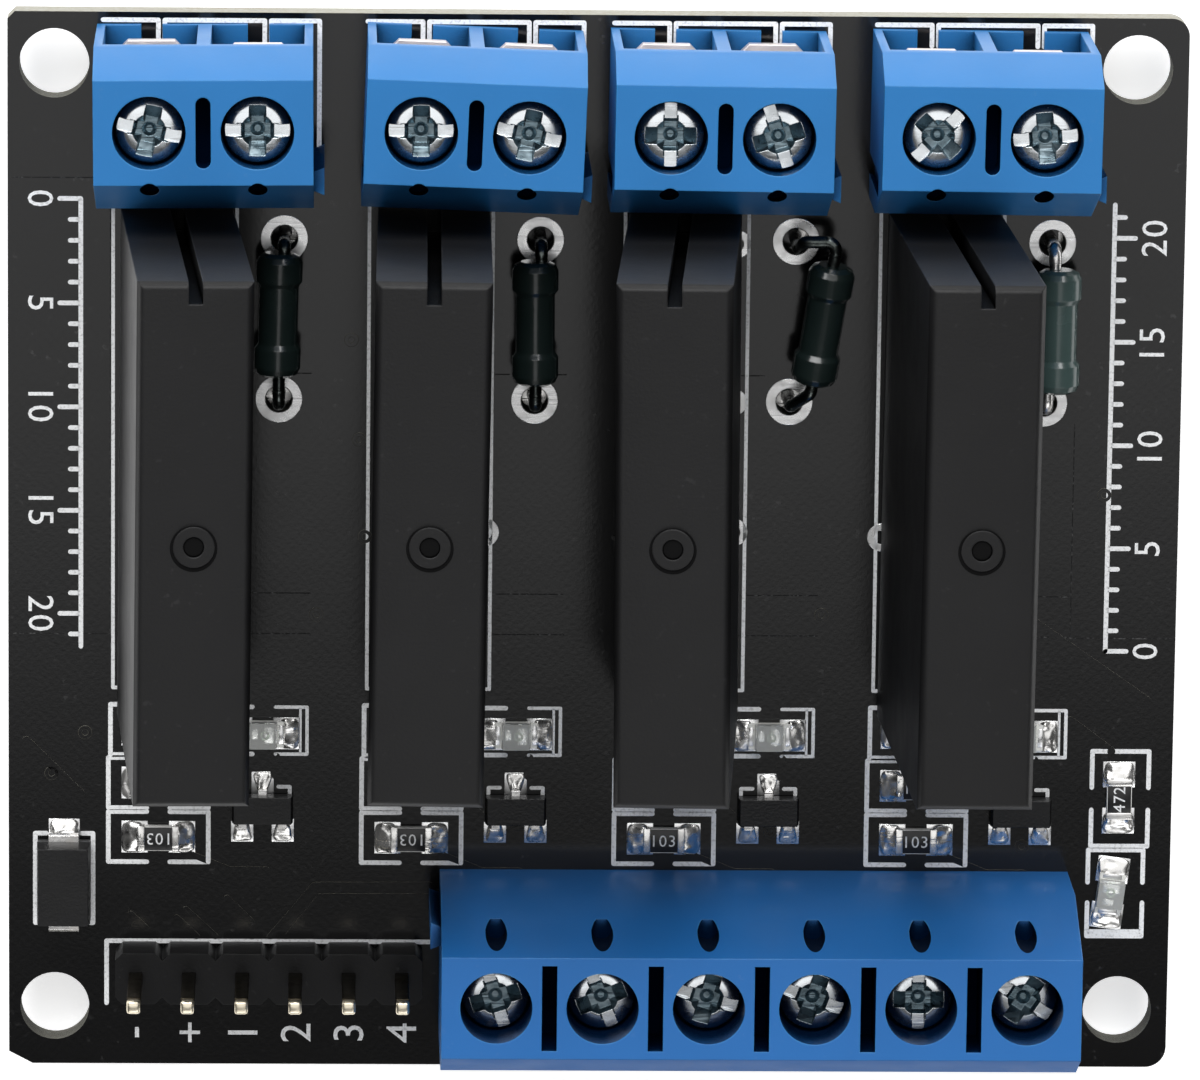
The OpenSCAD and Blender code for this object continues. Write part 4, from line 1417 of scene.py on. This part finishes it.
@dataclass
class Terminals(Assembly):
    """Blue screw terminal blocks with their contacts, rising clamps and screws."""

    edge: float = 0.07
    sharp: float = 28.0
    shortest: float = 0.3
    output_vent: Flat = (-2.8, 0.46)
    input_vent: Flat = (3.15, 0.51)
    output_turns: tuple[float, ...] = (-12, 0, 0, -12, 90, 108, 45, 5)
    input_turns: tuple[float, ...] = (147, 90, 160, 164, 112, 107)
    thread: Flat = (1.25, 0.45)
    root: float = 0.22
    crest: float = 0.02

    def shank(self, low: float, seat: float) -> list[Flat]:
        """Return a threaded shank's outline, from its tip up into the head."""
        radius, pitch = self.thread
        outline: list[Flat] = [(0, low), (radius - 0.3, low)]
        for step in range(int((seat - low - 0.3) / pitch)):
            level = low + 0.15 + step * pitch
            outline += [(radius - self.root, level), (radius - self.crest, level + pitch * 0.45),
                        (radius - self.crest, level + pitch * 0.55)]
        return outline + [(radius - self.root, seat), (radius - 0.1, seat + 0.04), (0, seat + 0.04)]

    def screws(self) -> None:
        """Put a detailed screw in place of each plain one."""
        head = ScrewHead()
        cut = head.cut()
        tags = [f"output_screw_{number}{side}" for number in range(1, 5) for side in "ab"]
        tags += [f"input_screw_{number}" for number in range(1, 7)]
        for tag, turn in zip(tags, self.output_turns + self.input_turns):
            box = self.cad.box(tag)
            seat = box.high.z - head.height
            shape = Shape()
            shape.add(cut, Matrix.Translation((*flat(box.middle), seat)) @ about_z(turn))
            shape.lathe(self.shank(box.low.z, seat), (*flat(box.middle), 0), 24)
            shape.piece(tag + "_cut", (Finishes.steel, Finishes.recess), instead_of=[tag],
                        slot="screw_steel", body=tag)
        cut.free()

    def housing(self, node: str, finishes: Sequence[Finish], tag: str, vent: Flat) -> None:
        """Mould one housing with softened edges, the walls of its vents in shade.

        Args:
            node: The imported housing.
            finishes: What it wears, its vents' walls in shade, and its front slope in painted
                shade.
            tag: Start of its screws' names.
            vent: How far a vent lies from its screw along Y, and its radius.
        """
        shape = Shape(self.cad.merged(node))
        shape.flatten()
        sharp = [
            edge for edge in shape.mesh.edges
            if edge.is_manifold and edge.calc_face_angle(0.0) > math.radians(self.sharp)
            and edge.is_convex and edge.calc_length() > self.shortest
        ]
        shape.bevel(sharp, self.edge, True)
        made = shape.piece(node + "_moulded", finishes, 40.0, [node], "terminal_blue", level=True)
        away, radius = vent
        spots = [
            self.cad.box(name).middle + Vector((0, away, 0))
            for name in self.cad.nodes if name.startswith(tag)
        ]
        for face in made.data.polygons:
            near = min((face.center / MM - spot).xy.length for spot in spots)
            # The front slope takes the third finish as painted shade; vent walls take the vent
            # shade.
            if len(finishes) > 2 and face.normal.y < -0.2 and 0.1 < face.normal.z < 0.95:
                face.material_index = 2
            elif near < radius and abs(face.normal.z) < 0.5:
                face.material_index = 1

    def build(self) -> None:
        """Mould the housings and dress what is in them."""
        for number in range(1, 5):
            self.housing(f"output_housing_{number}", (Finishes.blue, Finishes.vent),
                         f"output_screw_{number}", self.output_vent)
        self.housing("input_housing", (Finishes.blue_long, Finishes.vent, Finishes.blue_front),
                     "input_screw_", self.input_vent)
        for node in ("output_contacts", "input_contacts"):
            self.dress(node, Finishes.tin)
        for node in self.cad.nodes:
            if "_clamp_" in node:
                self.dress(node, Finishes.nickel)
        self.screws()


# ------------------------------------------------------------ relays and small parts


@dataclass
class Relays(Assembly):
    """Four tall epoxy relays and their leads."""

    ring: Point = (0.475, 0.95, 0.12)
    skin: float = 0.02
    foot: float = 0.13

    def shade(self, shape: Shape, case: bmesh.types.BMesh, box: Box) -> None:
        """Lay a dark disc in the well of a case's moulded ring as painted shade, and a dark rim
        round its foot, set off to the south, as a painted shadow.

        Args:
            shape: What they are added to.
            case: The case's mesh.
            box: The case's box.
        """
        well, outer, rise = self.ring
        ring = [vert.co for vert in case.verts
                if abs(vert.co.y - box.middle.y) < 2 and vert.co.z > box.high.z - 1]
        middle = sum(ring, Vector()) / len(ring)
        away = [point - middle for point in ring]
        slope = sum(p.x * p.z for p in away) / sum(p.x ** 2 for p in away)
        low, high = -rise / 2 - self.skin, -rise / 2 + self.skin
        inner = outer - 0.05
        verts = shape.lathe([(0, low), (well - 0.03, low), (well - 0.03, high), (0, high)],
                            middle, 32)
        verts += shape.lathe([(inner, low), (outer + self.foot, low),
                              (outer + self.foot, high - 0.008), (inner, high)],
                             middle - Vector((0, self.foot * 0.6, 0)), 32)
        bmesh.ops.rotate(shape.mesh, verts=verts, cent=middle,
                         matrix=Matrix.Rotation(-math.atan(slope), 3, "Y"))

    def build(self) -> None:
        """Dress the cases and the leads, and lay painted shade on each moulded ring."""
        shade = Shape()
        for number in range(1, 5):
            node = f"relay_case_{number}"
            shape = Shape(self.cad.merged(node))
            self.shade(shade, shape.mesh, self.cad.box(node))
            shape.flatten()
            shape.piece(node + "_soft", Finishes.relay, 58.0, [node], "relay_case", level=True)
        shade.piece("relay_ring_shade", Finishes.ring_shade, 50.0, slot="relay_case")
        self.dress("relay_leads", Finishes.tin)


@dataclass
class Fuses(Assembly):
    """Four glass-hard enamelled fuses, three dark and one teal, on bent leads."""

    def leads(self, name: str, teal: bool, finish: Finish) -> None:
        """Build the leads of the teal fuse, or of the three dark ones."""
        limit = self.cad.box("fuse_body_4").low.x - 1.5
        shape = Shape(self.cad.merged("fuse_leads"))
        others = [vert for vert in shape.mesh.verts if (vert.co.x > limit) != teal]
        bmesh.ops.delete(shape.mesh, geom=others, context="VERTS")
        shape.piece(name, finish, 50.0, ["fuse_leads"], "fuse_wire")

    def build(self) -> None:
        """Dress the bodies and build their leads."""
        for number in range(1, 4):
            self.dress(f"fuse_body_{number}", Finishes.enamel_dark)
        self.dress("fuse_body_4", Finishes.enamel_teal)
        self.leads("fuse_leads_dark", False, Finishes.dark_wire)
        self.leads("fuse_leads_tinned", True, Finishes.tin)


@dataclass
class Chips(Assembly):
    """Chip resistors: ceramic, dark glaze, tinned ends and a plain value code."""

    end: float = 0.36
    skin: float = 0.03
    figure: float = 0.58
    codes: dict[str, tuple[str, tuple[Reads, ...]]] = field(default_factory=lambda: {
        "indicator_resistors": ("102", (Reads.ACROSS,) * 4),
        "gate_resistors": ("103", (Reads.ACROSS,) * 4),
        "input_resistors": ("103", (Reads.TURNED, Reads.TURNED, Reads.ACROSS, Reads.ACROSS)),
        "power_resistor": ("472", (Reads.UPWARDS,)),
    })

    def build(self) -> None:
        """Build every chip, each finish as one piece."""
        core, glaze, ends, codes = Shape(), Shape(), Shape(), Shape()
        for node, (code, reads) in self.codes.items():
            for box, way in zip(self.cad.solids(node), reads):
                upright = box.size.y > box.size.x
                long, wide = max(flat(box.size)), min(flat(box.size))
                turn, along = (90.0, Vector((0, 1, 0))) if upright else (0.0, Vector((1, 0, 0)))
                spot, top, tall = flat(box.middle), box.high.z, box.size.z
                core.block(box.middle, (long - 0.06, wide - 0.06, tall - self.skin * 2), turn, 0.02)
                glaze.block((*spot, top - self.skin - 0.02),
                            (long - self.end * 2 + 0.08, wide - 0.12, self.skin * 2), turn, 0.02)
                for side in (-1, 1):
                    middle = box.middle + along * side * (long - self.end) / 2
                    ends.block(middle, (self.end, wide, tall), turn, 0.05)
                lettering(codes, code, self.figure, (*spot, top - 0.016), way, 0.014)
        for name, shape, finish in (
            ("chip_cores", core, Finishes.ceramic), ("chip_glazes", glaze, Finishes.glaze),
            ("chip_ends", ends, Finishes.solder), ("chip_codes", codes, Finishes.ink),
        ):
            shape.piece(name, finish, instead_of=list(self.codes), slot="chip_resistor")


@dataclass
class Lamps(Assembly):
    """Indicator lamps: white base, clear lens, and the die and strips inside it."""

    strips: tuple[tuple[Flat, Flat], ...] = (((0.3, 0.0), (0.46, 0.8)), ((-0.38, 0.05), (0.3, 0.5)))
    tab_away: float = 0.87
    tab: Point = (0.24, 0.9, 0.02)
    die_away: float = 0.1
    die: Point = (0.13, 0.22, 0.2)

    @staticmethod
    def spot(base: Box, turn: float, x: float, y: float, height: float) -> Vector:
        """Turn a place on a lamp into a place on the board."""
        return Vector((*flat(base.middle), height)) + about_z(turn) @ Vector((x, y, 0))

    def build(self) -> None:
        """Dress base and lens, and lay the die and strips under the lens."""
        self.dress("indicator_bases", Finishes.lamp_white)
        self.dress("indicator_lenses", Finishes.lens)
        strips, dies = Shape(), Shape()
        seats = [seat for seat in self.seats() if seat[2]]
        for (base, turn, _), lens in zip(seats, self.cad.solids("indicator_lenses")):
            level = lens.low.z
            for offset, size in self.strips:
                strips.block(self.spot(base, turn, *offset, level + 0.022), (*size, 0.024), turn,
                             0.008)
            dies.ring(self.spot(base, turn, self.die_away, 0, level + 0.02), *self.die)
            for side in (-1, 1):
                middle = self.spot(base, turn, side * self.tab_away, 0, base.high.z + 0.002)
                strips.block(middle, self.tab, turn, 0.006)
        strips.piece("lamp_strips", Finishes.pad)
        dies.piece("lamp_dies", Finishes.phosphor)


@dataclass
class SmallParts(Assembly):
    """Board, transistors, diode, the solder under the board, and the header."""

    tip: float = 0.6
    point: float = 0.1
    finishes: dict[str, Finish] = field(default_factory=lambda: {
        "circuit_board": Finishes.board,
        "transistor_bodies": Finishes.epoxy, "diode_body": Finishes.epoxy,
        "transistor_leads": Finishes.tin, "diode_leads": Finishes.tin,
        "header_insulator": Finishes.nylon, "lead_solder": Finishes.solder,
    })

    def build(self) -> None:
        """Dress them all, and build each header pin as a gilt shaft painted dark, as a painted
        reflection of the dark board, with a gilt tip.
        """
        for node, finish in self.finishes.items():
            self.dress(node, finish)
        shafts, tips = Shape(), Shape()
        for pin in self.cad.solids("header_pins"):
            spot, wide = flat(pin.middle), min(flat(pin.size))
            shafts.block((*spot, pin.middle.z - self.tip / 2),
                         (wide, wide, pin.size.z - self.tip - self.point), 0, 0.04)
            tips.block((*spot, pin.high.z - self.tip / 2), (wide, wide, self.tip), 0, 0.13)
        shafts.piece("header_shafts", Finishes.shaft, 50.0, ["header_pins"], "gilt_pin")
        tips.piece("header_tips", Finishes.gilt, 50.0, ["header_pins"], "gilt_pin")


@dataclass
class Fillets(Assembly):
    """Shiny reflowed solder, heaped from each pad up the end that sits on it.

    A heap's sizes are where it starts and ends, its half width and its height.
    """

    chip: tuple[float, float, float, float] = (0.7, 1.76, 0.75, 0.42)
    lamp: tuple[float, float, float, float] = (0.8, 1.74, 0.75, 0.28)
    collector: tuple[float, float, float, float] = (0.72, 1.7, 0.52, 0.26)
    small_lead: tuple[float, float, float, float] = (0.72, 1.68, 0.5, 0.2)
    diode: tuple[float, float, float, float] = (1.5, 2.92, 0.74, 1.0)
    lumps: float = 0.6

    def heap(
        self, shape: Shape, middle: Flat, turn: float, sizes: tuple[float, float, float, float],
        flare: float = 0.0,
    ) -> None:
        """Heap solder on one pad.

        Args:
            shape: What it is added to.
            middle: Centre of the chip.
            turn: Degrees from +X to the way the pad lies.
            sizes: The heap's sizes.
            flare: How much narrower it starts than it ends, from 0 to 1.
        """
        start, end, half, tall = sizes
        made = bmesh.ops.create_icosphere(shape.mesh, subdivisions=4, radius=1.0)["verts"]
        seed = Vector((middle[0] * 3.7 + turn, middle[1] * 1.9, turn * 0.37))
        for vert in made:
            across, along = (
                math.copysign(abs(value) ** 0.5, value) for value in (vert.co.y, vert.co.x)
            )
            share = (along + 1) / 2
            swirl = noise.noise(Vector((along, across, 0)) * 1.9 + seed)
            height = (tall * (1 - share) ** 1.3 + 0.1) * (1 + self.lumps * swirl)
            vert.co = Vector((
                start + (end - start) * share,
                across * half * (1 - flare * (1 - share)) * (1 + 0.12 * swirl * share),
                max(0.0, vert.co.z) ** 0.6 * height,
            ))
        shape.place(made, Matrix.Translation((*middle, self.top + 0.01)) @ about_z(turn))

    def build(self) -> None:
        """Heap solder at both ends of the chips and lamps, and on the small leads."""
        shape, small = Shape(), Shape()
        for box, turn, lamp in self.seats():
            for way in (turn, turn + 180.0):
                self.heap(shape, flat(box.middle), way, self.lamp if lamp else self.chip)
        shape.piece("solder_fillets", Finishes.solder, 75.0, ["surface_solder"], "solder")
        for body in self.cad.solids("transistor_bodies"):
            x, y = flat(body.middle)
            self.heap(small, (x, y), 90.0, self.collector, 0.55)
            for side in (-0.97, 0.97):
                self.heap(small, (x + side, y), -90.0, self.small_lead, 0.35)
        self.heap(small, flat(self.cad.box("diode_body").middle), 90.0, self.diode, 0.3)
        small.piece("small_fillets", Finishes.solder, 75.0, slot="solder")


def main() -> Iterable[Sequence[float]]:
    """Build the module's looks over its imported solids.

    Returns:
        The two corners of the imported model's box.
    """
    logging.basicConfig(level=logging.INFO, format="%(name)s: %(message)s")
    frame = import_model()
    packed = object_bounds()
    cad = Cad(frame["nodes"])
    low = min(cad.box(node).low.z for node in frame["nodes"])
    Studio().build(low)
    for part in (SmallParts, Relays, Terminals, Fuses, Chips, Lamps, Fillets, Copper, Printing):
        part(cad).build()
        log.info("%s built", part.__name__)
    return packed


if __name__ == "__main__":
    packed_box = main()
